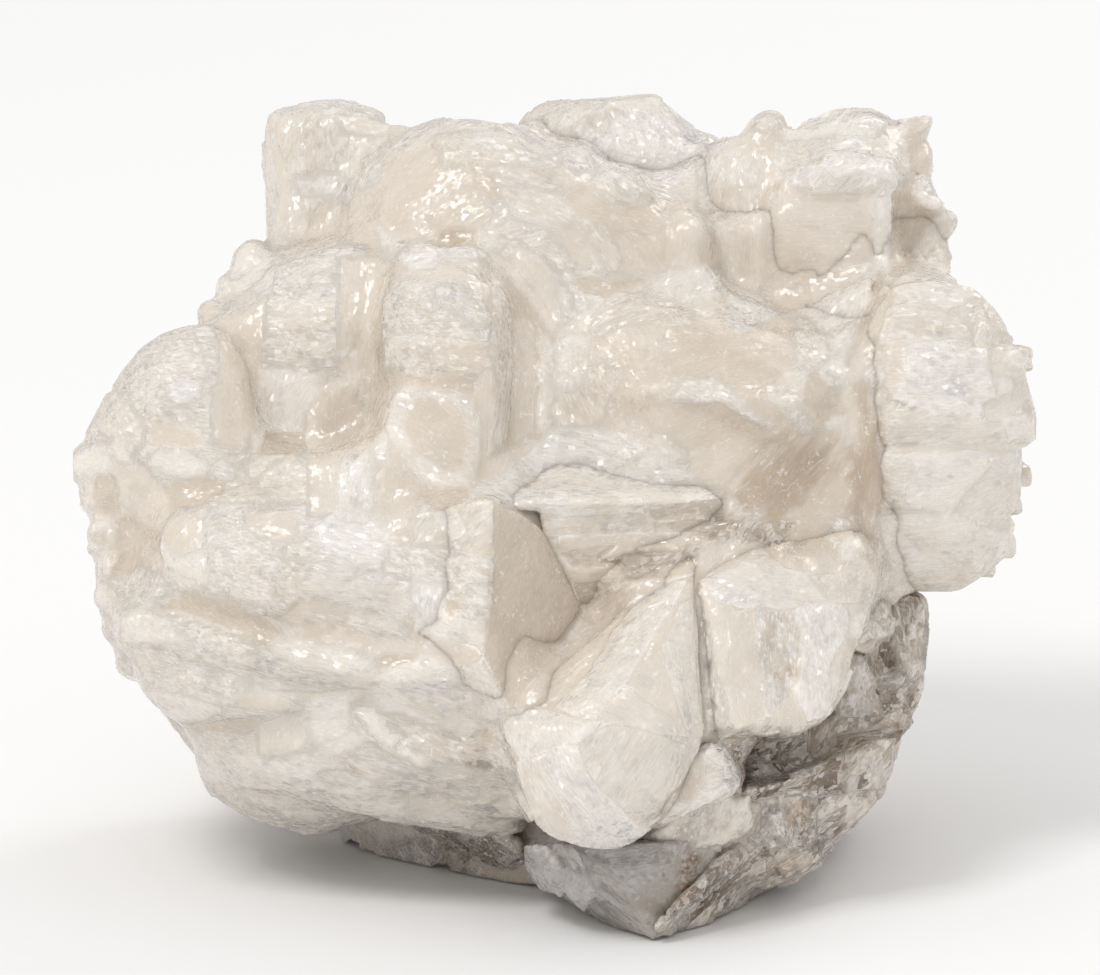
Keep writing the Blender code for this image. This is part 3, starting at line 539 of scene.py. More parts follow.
def left_side():
    """The fibrous column, the round dome at the far left and the pale knobs between them."""
    column = [-42.6,72, -42.6,82, -41,85, -38,87, -33,88.2, -27,88, -23.6,86.4, -22.4,83, -24.8,77, -28,69, -34,66,
        -40.5,67.5]
    bed = [-50,57, -50,76, -42,80, -26,82, -20,72, -21,58, -28,53, -42,53]
    low_bed = [-46,52, -44,70, -36,72, -25,68, -22,56, -28,52]
    shoulder = [-51.5,78, -49,80.2, -45.5,81.4, -41.5,80.5, -40,76, -40.5,68, -46,66, -50,70]
    dome = [-51.4,78.3, -54,77.8, -57.6,76, -60.4,73.8, -63.3,69.5, -66,65.4, -68,61.8, -69.7,58.6, -68.4,54, -60,50,
        -47,52, -43.2,58, -43.6,65, -45,70, -47.6,74.6]
    return [
        tablet("worn", column, -8, 26, (-0.1, 0.35), 2.6, 3.4),
        tablet("worn", bed, -9, 22, (-0.15, 0.3), 2, 4),
        tablet("worn", low_bed, -12.4, 22, (-0.1, 0.2), 3, 4),
        tablet("worn", shoulder, -5, 24, (-0.2, 0.4), 2.5, 3.4),
        tablet("worn", dome, -18, 40, (-0.35, 0.35), 7, 4.6, back=0.7),
        lump(-43.8, 85.6, 12, 3.3, 4.4, 7), lump(-46.4, 82.2, 8, 2.6, 2.8, 6), lump(-49.4, 78.8, 4, 2.6, 2, 6),
    ]


def lower_left():
    """The splintery slabs lying over one another at the lower left."""
    flank = [-68.2,51.5, -67.3,44, -66,37, -64.6,31.5, -61.3,26.6, -56,21.7, -52.5,14, -50,9.4, -43,4.9, -34,3.2,
        -24,6.2, -20,25, -24,50, -45,57, -64,55.5]
    main_slab = [-56.4,43.5, -56.6,48.6, -53,51, -46,52.8, -36,53.6, -27,51, -22,44, -22,38, -34,35, -40.8,34.6,
        -46,35.4, -51.5,38]
    right_slab = [-24,46, -20.5,50.6, -15.5,52.6, -10.4,52.2, -9.4,44, -9.8,35, -12,30.4, -19,31, -24,36]
    shelf = [-55,39, -44,37.6, -30,34.4, -12,31, -11.5,26, -24,25, -40,28, -53,33.5]
    middle_slab = [-64.4,33.5, -63.4,36.4, -58,37, -49,35.6, -38,32.4, -26,28.4, -25,25.2, -36,25.4, -46,26.5,
        -58,28.4, -62.4,29.6]
    lower_slab = [-61.4,28.4, -55,30.2, -44,29, -34,26.6, -30,23.6, -36,21.4, -41,20.6, -46,18.6, -53.5,19.2,
        -57.4,22.2]
    foot = [-53.4,18.5, -46,20, -36,20.6, -27,18, -20,12, -22,7.6, -29,4.4, -37,3.2, -44,5.4, -50,9.2, -51.8,13]
    grey = [-27.4,20.6, -18,19.8, -9,17.6, -4.8,14, -4.4,8, -7,5.4, -14,8, -22,11.6, -28,16]
    low_pale = [-33,10.6, -26,11.8, -16,9.4, -6,9.4, -3.6,5, -5,3, -12,4, -20,5.2, -26,6, -31,6.8]
    bright = [-27,24.6, -22.5,27.4, -18.6,29.2, -13.8,28.4, -9.6,28.7, -6.6,23, -8,19.6, -12,18.2, -23.4,21.6]
    stalk = [-31.2,50, -30.9,55, -29.6,58, -27.6,58.9, -25.6,57.4, -25.2,52, -27,47.5]
    behind = [-41.2,50, -41,55.4, -37,58.4, -31,57.8, -29.4,52, -32,48]
    beside = [-27,49, -27,56.4, -24.4,57, -22,55.4, -20.4,50.4, -22.8,47]
    bed = [-60,30, -58.5,50, -46,54, -28,54, -11,50, -8,26, -8,12, -28,8, -44,11, -54,20]
    return [
        tablet("worn", bed, -29.5, 30, (-0.26, 0.1), 3, 5),
        tablet("worn", flank, -20, 52, (-0.3, 0.1), 9, 10.9, back=0.6),
        tablet("worn", main_slab, -32.6, 28, (-0.22, 0.5), 2.6),
        tablet("worn", right_slab, -36.6, 20, (-0.12, 0.3), 2),
        tablet("worn", shelf, -33, 24, (-0.28, 0.5), 1.8),
        tablet("worn", middle_slab, -31.8, 28, (-0.3, 0.1), 2.2),
        tablet("worn", lower_slab, -31.5, 26, (-0.25, -0.15), 2),
        tablet("worn", foot, -23, 30, (-0.2, -0.6), 3, 5.4),
        tablet("worn", grey, -34.4, 30, (0, -0.35), 1.6),
        tablet("worn", low_pale, -27.5, 22, (0.05, -0.7), 1.4),
        tablet("worn", bright, -37.4, 20, (-0.1, -0.15), 1.8),
        tablet("worn", stalk, -27, 14, (-0.2, 0.2), 1),
        tablet("worn", behind, -25, 14, (-0.2, 0.2), 1.4),
        tablet("worn", beside, -25.5, 14, (0.3, 0.2), 0.9),
        lump(-66.2, 57, -6, 4.2, 3.6, 9), lump(-65.2, 51.9, -7, 3.8, 3.2, 9), lump(-64.4, 46.6, -8, 3.8, 3.4, 9),
        lump(-63.4, 42.2, -9, 3.4, 3.4, 9), lump(-63.6, 38, -8, 3.6, 2.8, 9), lump(-62.2, 33.6, -9, 3.4, 3.2, 9),
        lump(-60, 29.4, -8, 4, 3.4, 10),
    ]


def kite():
    """The smooth kite-shaped face at the right end of the slabs."""
    return [gem("keen", -9,52.4,-37.4, -10.2,36,-42, -9.8,28.8,-42, -5.9,22.6,-40.4, -2,28.5,-36, 2,33.3,-31,
        4.1,36.3,-28, 0.8,44.2,-28, -2,48.4,-30, -22,50,-29, -24,34,-36, -20,28,-37, -12,40,-8)]


def leaning_prism():
    """The leaning prism with its bright lobe."""
    body = gem("keen", -6,22.3,-40, -8,19.5,-42, -5.6,14.4,-46, -4.3,9,-47, -2.8,5,-48, 0,3.1,-48, 3,2.1,-48,
        8.5,1.6,-47, 11.4,2.5,-46, 14.4,4.9,-45, 16.4,7.6,-45, 18,11,-45, 19.6,15,-44, 21.8,18,-43, 20.8,30,-38,
        20.2,40,-31, 20,45,-25, 7,33.6,-32, 3,19,-52, 15,18.5,-50, 16.5,9,-49.5, 6,7,-53, 1,12,-52, 10,24,-10,
        18,36,-8, 12,8,-20)
    side_plate = gem("keen", -5.5,22.8,-41, 0,27.6,-37.5, 8,33.8,-33, 14,38.6,-29.5, 16.5,38,-33, 9,31.5,-37.5,
        1,24,-43, -4,21,-44, 4,26,-26)
    valley = gem("keen", -4,24,-36, 4,36,-27, 18,46,-20, 27,48.6,-17, 22,40,-26, 10,30,-34, 0,20,-38, 10,30,-4,
        22,42,-6, -2,22,-16)
    return [body, valley, side_plate]


def ribbed_block():
    """The broken block beside the prism, with a splintered snowy border, and the grey facets at its right."""
    block_face = [20.4,40, 25,42.4, 29,45, 33,43.6, 40,43.2, 44.5,47.5, 46.5,41, 43.4,35.6, 41.6,31, 40.6,26, 40.2,22,
        37.4,19.4, 34,18.2, 29,18.8, 25,18.4, 21.8,18.2]
    gusset = gem("blocky", 21.7,18,-42, 20.5,40,-30, 25,42,-24, 28.5,44.5,-20, 24,19,-40, 28,30,-20)
    facets = [
        ([43.4,38, 44.6,38.6, 48,37, 48.4,33.6, 45.4,34.4], -18.6),
        ([41.6,31.6, 42.6,35.4, 45.6,34.8, 48.2,33, 45,30.2], -20),
    ]
    return [
        tablet("blocky", block_face, -33, 34, (0.35, 0.5), 1.6),
        gusset,
    ] + [tablet("keen", outline, near, 14, (0.5, 0.3), 0.9) for outline, near in facets]


def small_fans():
    """The small white fan beside the lobe and the thin fans below it."""
    fan = [14.8,5.6, 17.2,10, 19.2,15.4, 21.6,16.9, 24.2,16, 25.6,13.4, 26,11, 24.6,9.6, 20,7.4]
    low = [12.6,3.5, 17,6.6, 24,9, 27.6,9.4, 28,5, 25,2.6, 20,1.4, 16,2.2]
    return [
        tablet("keen", fan, -44, 18, (0.3, 0.1), 1),
        tablet("keen", low, -41, 16, (0.2, -0.2), 1),
    ]


def brown_foot():
    """The brown glassy mass under the right half, in layers that rise to the right."""
    upper = [39.4,36, 42,38.6, 48.5,38.6, 52.5,38.3, 53.8,37, 51,34, 50.4,32, 52,27, 53.1,24, 51,19.6, 45,18.5, 39,20]
    layers = [
        ([24,13, 24.6,17.8, 30,18.6, 37,19.6, 44,21.6, 51,22.4, 50.6,18.6, 44,15.4, 36,12.8, 28,10.6], -23,
         (0.35, 0.1)),
        ([26.5,9.8, 36,13, 44,16, 50.4,19, 48.6,13.6, 47,9, 40,6.6, 30,6], -27.5, (0.35, -0.5)),
        ([25,7.6, 32,9.4, 42,9.6, 46.6,9, 43,5.6, 38.6,0.6, 34,0, 28,2], -29.5, (0.4, -0.4)),
        ([23,3, 30,3.6, 37,2.6, 38.2,0, 34,-3, 30,-4.4, 25,-3], -31, (0.3, -0.5)),
    ]
    ledge = gem("keen", 15.9,6.4,-41, 21.7,8.7,-39.5, 26.7,9.8,-37, 32.2,11.6,-33.5, 36.7,12.9,-30.5, 42.6,14.2,-26,
        42.4,13.2,-25, 36.5,11.6,-30, 26.5,8.4,-36, 18,5.8,-39.6, 30,12,-18, 22,8,-24)
    under = gem("blocky", -26,6.5,2, -23,1,4, -20,0,0, -13,-1,-4, -6,-3.6,-13, -3,-2,-16, -5,3,-24, -12,5,-20,
        -20,7,-14, -10,12,10)
    right_rim = gem("blocky", 53.2,24,0, 50.7,19.4,2, 48,13.5,4, 46.6,8.9,5, 43,5.4,6, 44,5.6,12, 49,13,12,
        51.5,20,10, 53,24,8, 46,10,20, 44,12,-4, 48,20,-6)
    shards = [(43.2, 26.6, -17.4, 3, 4, 20), (42.4, 22.4, -19, 2.6, 2.8, 40), (48.6, 28.6, -12, 3.4, 2.4, 10),
              (50.6, 23.6, -9, 2.6, 2.8, -30), (32, 5.4, -31, 2, 3.4, 20), (29.6, 2.6, -32, 2.8, 2, -20),
              (28.4, -0.6, -31, 2.6, 2.2, 25)]
    mass = [tablet("blocky", upper, -13, 40, (0.5, 0.1), 2.5, back=0.85), under, ledge, right_rim]
    mass += [tablet("blocky", outline, near, 46, lean, inset=1.6, back=0.85) for outline, near, lean in layers]
    return mass + [block(spot(across, up, depth), (1.6 * wide, 3.2, 1.8 * tall), turn=0.6 * math.sin(angle),
                         tilt=math.radians(angle), chamfer=0.3) for across, up, depth, wide, tall, angle in shards]


def smoky_tip():
    """The smoky end beside the clear crystal and the pale bar along its edge."""
    tip = gem("blocky", 14,-11.7,-43, 22,-9.4,-36, 25.5,-7.8,-29, 28.5,-5.8,-20, 31.5,-4.4,-16, 36,-2,-6, 40,2,8,
        28,5,-33, 20,1,-38.5, 40,9,-20, 36,10,10, 16,0,-20)
    bar = gem("keen", 27.2,1.4,-37, 25.6,2.4,-37.4, 24.6,1.4,-38, 14.6,-8.4,-46, 13.6,-9.6,-46, 14.4,-10.6,-45,
        16.4,-9.8,-43.6, 27.6,0,-35.6, 20,-2,-34)
    return [tip, bar]


def clear_front():
    """The clear crystal in front that the weight rests on."""
    window = gem("keen", -4,1,-33, -1,3,-40, 8,2.5,-43, 16,3,-43, 24,4,-38, 26,1,-33, 17,-10.3,-41.5,
        14.5,-11.4,-43.5, 8,-9.4,-36, 3,-6.7,-26, -3,-3.2,-20, 11,-6,-46, 24,-7,-27, 10,-2,-10, 26,-2,-10)
    fans = [
        gem("keen", -4.4,2.4,-38, -1.2,2.6,-41, 1.2,-0.6,-42, 1.4,-5.6,-38, -1.8,-4.6,-32, -4.6,-1,-32, -1,0,-26),
        gem("keen", 1.6,3,-43, 3.4,2.2,-44, 5.8,-4.6,-43.6, 4.2,-7.8,-38, 1.8,-4.8,-40, 2.4,-2,-30),
    ]
    return [window] + fans


def far_side():
    """The far side, where blocks like those in front turn away from the viewer."""
    blocks = [((-42, 22, 56), (32, 26, 30), -0.75, 0.12, 0.35), ((-26, 36, 72), (28, 22, 32), -0.3, -0.2, 0.3),
              ((4, 42, 70), (34, 18, 44), 0.1, 0.15, 0.3), ((32, 36, 64), (30, 24, 40), 0.55, -0.15, 0.3),
              ((48, 18, 60), (22, 30, 30), 0.9, 0.1, 0.35), ((-39, 19, 35), (30, 30, 28), -0.5, -0.2, 0.35),
              ((-20, 34, 40), (36, 26, 34), -0.2, 0.25, 0.3), ((14, 38, 34), (36, 24, 38), 0.25, -0.3, 0.3),
              ((30, 23, 28), (20, 28, 32), 0.7, 0.1, 0.3), ((-6, 26, 12), (48, 22, 24), 0.05, 0, 0.25),
              ((12, 42, 88), (26, 16, 20), 0.2, 0.1, 0.3)]
    blocks += [((-4 + 8 * step, 48 - 1.2 * step, 60 - 7 * step), (9, 11, 36), 0.15, 0.35, 0.25) for step in range(4)]
    return [block(*sizes) for sizes in blocks]


# The faces laid over each part: finish, lift in half millimetres, way of the threads in degrees, and the outline as
# across and up in turn

CREST_FACES = [
    ("crusty", 0.2, 80, -44,84, -44,112, -24,112, -24,98, -29.5,96, -30,84),
    ("smooth", -0.4, 84, -44,106, -42.8,93.5, -41,90.5, -39,92, -38.4,99, -40.2,104, -41.4,106),
    ("pale", 0.7, 20, -38.2,108.4, -36,111, -24,111, -24.4,107.8, -27,108, -30,108.6, -33,107.4, -36,108.8),
    ("silky", 0.5, -12, -32,107.6, -28,108, -24,107, -24,104.6, -27.4,104.8, -30.6,105.4),
    ("frosty", 0.3, 60, -38.4,99.4, -36,98.6, -33,99.6, -30.4,98.4, -29.4,97, -30,95, -33.4,96.2, -36.4,96),
    ("crusty", 0.6, 80, -40.2,104.4, -37.4,107, -33,106.4, -31.4,102, -33,99.8, -36.4,100.4),
    ("smooth", 0, 86, -33.6,95, -30.2,94.6, -29.6,90, -31,85, -36,85, -36.4,90),
    ("pale", 0.5, -50, -40.6,90.4, -39.2,90, -37.6,87.2, -39.6,85.8, -41.4,87),
    # the rounded crest
    ("smooth", 0.2, 30, -30,84, -29.8,95, -27.2,99.6, -23,102.6, -19,103.6, -12,99, -9,93, -12,86, -20,84),
    ("frosty", 0.4, 60, -28.8,97.4, -28.2,99.2, -25.6,101.8, -24.8,100.4, -25.2,98.2, -27.4,97),
    ("silky", 0.7, 28, -26,101.2, -22,104.4, -20.8,106, -18.6,108, -15.6,108, -16.2,104.4, -18.6,103.2, -22.4,102),
    ("pale", 0.5, 6, -16.4,107.6, -13.5,108.8, -8.5,108.6, -6,107.4, -7.6,106, -12,105.2, -16.6,104.8),
    ("smooth", 0.1, -50, -8.6,108.2, -5.2,107, -3,104, -1,102.4, -3,101, -6.4,103.4, -8.6,105.4),
    ("silky", 0.9, -24, -17.4,104.4, -12,105.2, -7,105.2, -3.6,102.2, 0.6,99.8, -2,98.2, -7,100.4, -12,100.6,
     -16,99.6),
    ("silky", 0.7, -18, -10.4,99.8, -5,100, -0.6,99.6, 0.8,97, -3,95.6, -8,96.8),
    ("pale", 0.9, -26, -7.6,97, -3.6,96.6, 1.2,95.4, 3.2,92.8, 6.4,91.6, 4,90.4, -1,91, -6,92.8),
    ("smooth", 0.3, -10, 4.2,97.6, 7,94.6, 14.2,94.8, 15.8,93.4, 15.6,90.4, 8,90.8, 3.4,92.6, 1.2,95.6),
    ("smooth", 0, -50, 2.4,92.4, 8,90.8, 15.8,90.2, 18,86, 15,83.6, 9,84.8, 5.6,85, 2.4,86.6, 0,90),
    ("silky", 0.5, -55, 5.4,92, 7.4,90.6, 9.8,86.4, 8.8,84.6, 5.6,85, 4.4,88.6),
    ("deep", -0.9, -10, 2.2,83.4, 5,84.6, 8,83.4, 9.5,83.6, 14.4,84, 12,81.6, 8,81, 4,81.6),
    ("silky", 0.8, -58, -11,89, -8.5,89.9, -4.5,88.8, -1.6,87.2, 0.2,84.9, 1.7,82, 2.8,79, 3,74, -3,72, -7.4,76,
     -9.6,82),
    ("smooth", 1.4, -62, -6,88.6, -3.6,87.6, -1,85.4, 0.4,81.6, 0.8,77, -1.8,76, -3.6,80, -6.4,84),
    ("pale", 1, -20, -11.4,89.4, -9,90, -6.6,89, -7.8,87.8, -10.4,87.8),
    ("deep", -1.4, 5, -17.4,89.6, -16.4,90.9, -12,91, -11,88.6, -14.5,88.4, -16,87.8),
    ("pale", 0.7, -30, -26,91.6, -23.6,90.6, -21.4,89.5, -20.8,88.4, -22.5,87, -24.8,87.6),
    # knobs
    ("silky", 0.2, -60, 1,102.6, 3.4,103.4, 5.6,102, 5.6,99.8, 3,98.8, 0.8,100.2),
    ("silky", 0.3, -40, 5.4,99, 8,100, 11,98.6, 14.2,95.2, 12,94, 7.6,94.8, 5.2,97),
    ("smooth", 0.2, 80, 15.8,93, 17.6,95, 20,94.4, 22.6,91, 24,87, 22,83.6, 17,84, 15.6,88),
]

BACK_FACES = [
    ("silky", 0.3, 62, -6,104.6, -4,109, 0,111, 5,111, 7.4,110.2, 9,104, 7,100.6, 2,103, -2,103.2),
    ("pale", 0.7, -60, 7.2,110.4, 12,112, 14.9,111.6, 16.2,107, 14.4,101.4, 9,102.6),
    ("frosty", 0.4, -50, 14.9,111.8, 18,110, 20.4,107.4, 23,104, 19.4,102, 16.4,103.6),
    ("smooth", 0, -20, 7.6,101.4, 14,100.2, 19.6,102, 24.4,103.6, 22,98, 21,93, 12,94, 9,98),
    ("smooth", 0.2, 84, 22,104, 26.5,105.6, 30,105.6, 31.8,104.6, 32.2,99.6, 30.6,96.4, 27.6,96, 24.8,98, 22.8,100.6),
    ("silky", 0.4, 84, 20.8,99.6, 23.2,101.6, 24.8,98.2, 25.2,94.4, 23,91, 20.4,93),
    ("stepped", 0.3, 86, 25.2,97.8, 29.4,96.6, 30.6,91, 30.6,84.2, 28.4,80.4, 25.2,81, 24.2,86, 22.6,90, 24.8,94),
    ("silky", 0.7, 40, 28.2,105.2, 30.2,108.6, 31.8,109, 33.8,107.8, 33.4,106, 31.6,104.8),
    ("pale", 0.4, 60, 33.4,106.8, 36,109.2, 40,110.4, 46,111, 48.4,110, 49.6,107.8, 46,104.6, 41,105.2, 36,104,
     33.4,102),
    ("silky", 0.1, 84, 31.8,103.6, 34.4,103.6, 40,104.8, 41,101, 36,99.4, 32.4,99.6),
    ("frosty", 0.9, 20, 33.2,97.2, 35,100, 38.6,100.4, 40.2,103.6, 43.6,104.8, 45.8,101.6, 48.8,101.2, 49.4,97.4,
     47.4,94.8, 42,95.4, 37,96.6),
    ("glint", 0.7, 40, 35.4,98.6, 38.6,100, 40.6,98.2, 44.4,99.2, 46.4,98.4, 48.4,97.6, 47.8,95.6, 43,96, 38,97),
    ("smooth", 0, 2, 31.2,96.4, 34,97.2, 40,96.4, 46.4,95.8, 46.2,91, 47.4,86.4, 45,84.4, 40,80.2, 36,79, 32,79.6,
     30.4,84, 30,90),
    ("smooth", 0.5, 4, 31,91, 36,91.4, 45.8,90.6, 46,95.6, 40,96.2, 34,97, 31.4,95.6),
    ("smooth", 0.3, 4, 36,85.4, 46.8,86, 45,84.2, 40,80.4, 34,79.6, 32,81.4),
    ("pale", 0.4, 88, 46.4,95.6, 49.4,96, 49,91, 48.2,84.8, 45.8,84.6, 46.2,90),
    ("deep", -0.6, 70, 49.4,98, 52,98.8, 54,96.4, 56.6,94.2, 53,87, 51,84.2, 48.2,84.2, 49,91),
    ("pale", 0.6, 20, 52.4,96.2, 53.2,99, 55.6,99, 56.8,97.6, 57.2,95.2, 55,94, 53,94.6),
    ("silky", 0.5, 55, 51.8,85, 54.6,84, 58.2,89.4, 59.4,92.4, 58,94.4, 56.4,94.4, 53.8,91.4, 51.6,88),
]

TOWER_FACES = [
    ("smooth", 0, 84, 45.8,85, 48.4,82.8, 47.8,79.6, 47.2,75, 45.6,72, 46.6,66, 46.6,60, 46.8,50, 45,47, 43,53,
     42.6,58, 41.6,63, 40.8,67, 43,72, 44.6,78),
    ("pale", 0.3, 2, 48,82.6, 51,85.2, 57,85, 61.4,84, 63.4,81.4, 60,80.2, 56,79.2, 51,80.8),
    ("silky", 0.2, 60, 56.6,79.2, 61,80.8, 64.4,81, 67,76.4, 67.8,73.6, 63.6,73.6, 60.4,73, 59.6,76.6),
    ("silky", 0.6, 0, 47.6,79.4, 51.4,80.8, 56,79.2, 59.6,76.6, 60.4,73.4, 57,72.8, 56.4,74.2, 50,75.2, 46.4,74.8),
    ("stepped", 0.2, 0, 47.4,74.6, 51,74.2, 51,69.6, 48.2,66, 46.8,70.2),
    ("frosty", 1, 0, 48.4,66.4, 50.4,70, 50.8,74.2, 56.4,74.4, 57.2,72.8, 60.4,73.6, 62.4,73.6, 62.6,70, 63.5,66.4,
     61.4,66.2, 61.4,63.4, 59,64.4, 55,63.8, 52,65.2),
    ("frosty", 0.3, 40, 44.4,70.6, 46.2,71.8, 47.6,70, 47,68.2, 45,68),
    ("pale", 0.3, 84, 45,68, 47,68.2, 46.8,65.4, 45.2,65.4),
    ("crusty", -0.2, 30, 62.6,74.2, 68,74, 70,69.6, 70,66.6, 68,65.8, 67,62.4, 62,63.2, 61.6,66, 63.5,66.4),
    ("pale", 0.6, 30, 65,73, 67.4,74, 69.2,71.2, 67,70.8, 65.2,71.8),
    ("pale", 0.4, 0, 63.4,69.8, 65.8,69.4, 65.8,67.2, 63.8,66.8),
    ("silky", 0.4, 1, 46.6,63.6, 49.4,65.6, 55,64, 59,64.4, 62,63.2, 67,62.2, 68.4,60.2, 58,60, 46.2,59.8),
    ("pale", 0.8, 0, 64.2,64, 68.6,64, 68,61.2, 65.2,60.6),
    ("smooth", -0.2, 0, 46,59.6, 69.4,60.2, 69,58.8, 46.4,58.4),
    ("pale", 0.7, 1, 46.8,58.2, 55,59.2, 61.8,58.8, 62.6,56.2, 59.6,53.4, 57,50.4, 47.8,50.4, 46.8,54),
    ("silky", 1.1, 0, 46.8,56.8, 50.4,57.8, 52.4,56.6, 50.4,53.8, 50,51, 47.8,50.8),
    ("crusty", -0.1, 20, 62.6,56.8, 65,55.2, 69,55.2, 67.4,50, 64.4,47, 60,49, 57.4,50.4, 59.8,53.6),
    ("pale", 0.5, 0, 46.4,49.6, 57,50, 62,47.6, 65.2,47.4, 66,43.2, 61.8,43.2, 61.6,40.6, 60,40, 58,38, 49,38.2,
     46.6,42),
    ("silky", 0.9, 0, 48,42.4, 56,42.6, 60.4,43.6, 61,41.4, 57,38.4, 50,38.6, 47.6,40),
    ("pale", 0.2, 50, 33.2,79.2, 38.6,79.8, 41.6,81.4, 44,83.6, 46.2,84.8, 44.6,80.6, 42.4,75.6, 41.8,72, 39,75.6,
     36.4,78.2),
    ("deep", -0.3, 66, 41.6,72, 43,75.6, 45.2,81, 46.6,85, 48,84.6, 45.8,79.8, 43.6,74.4, 42,70.4),
]

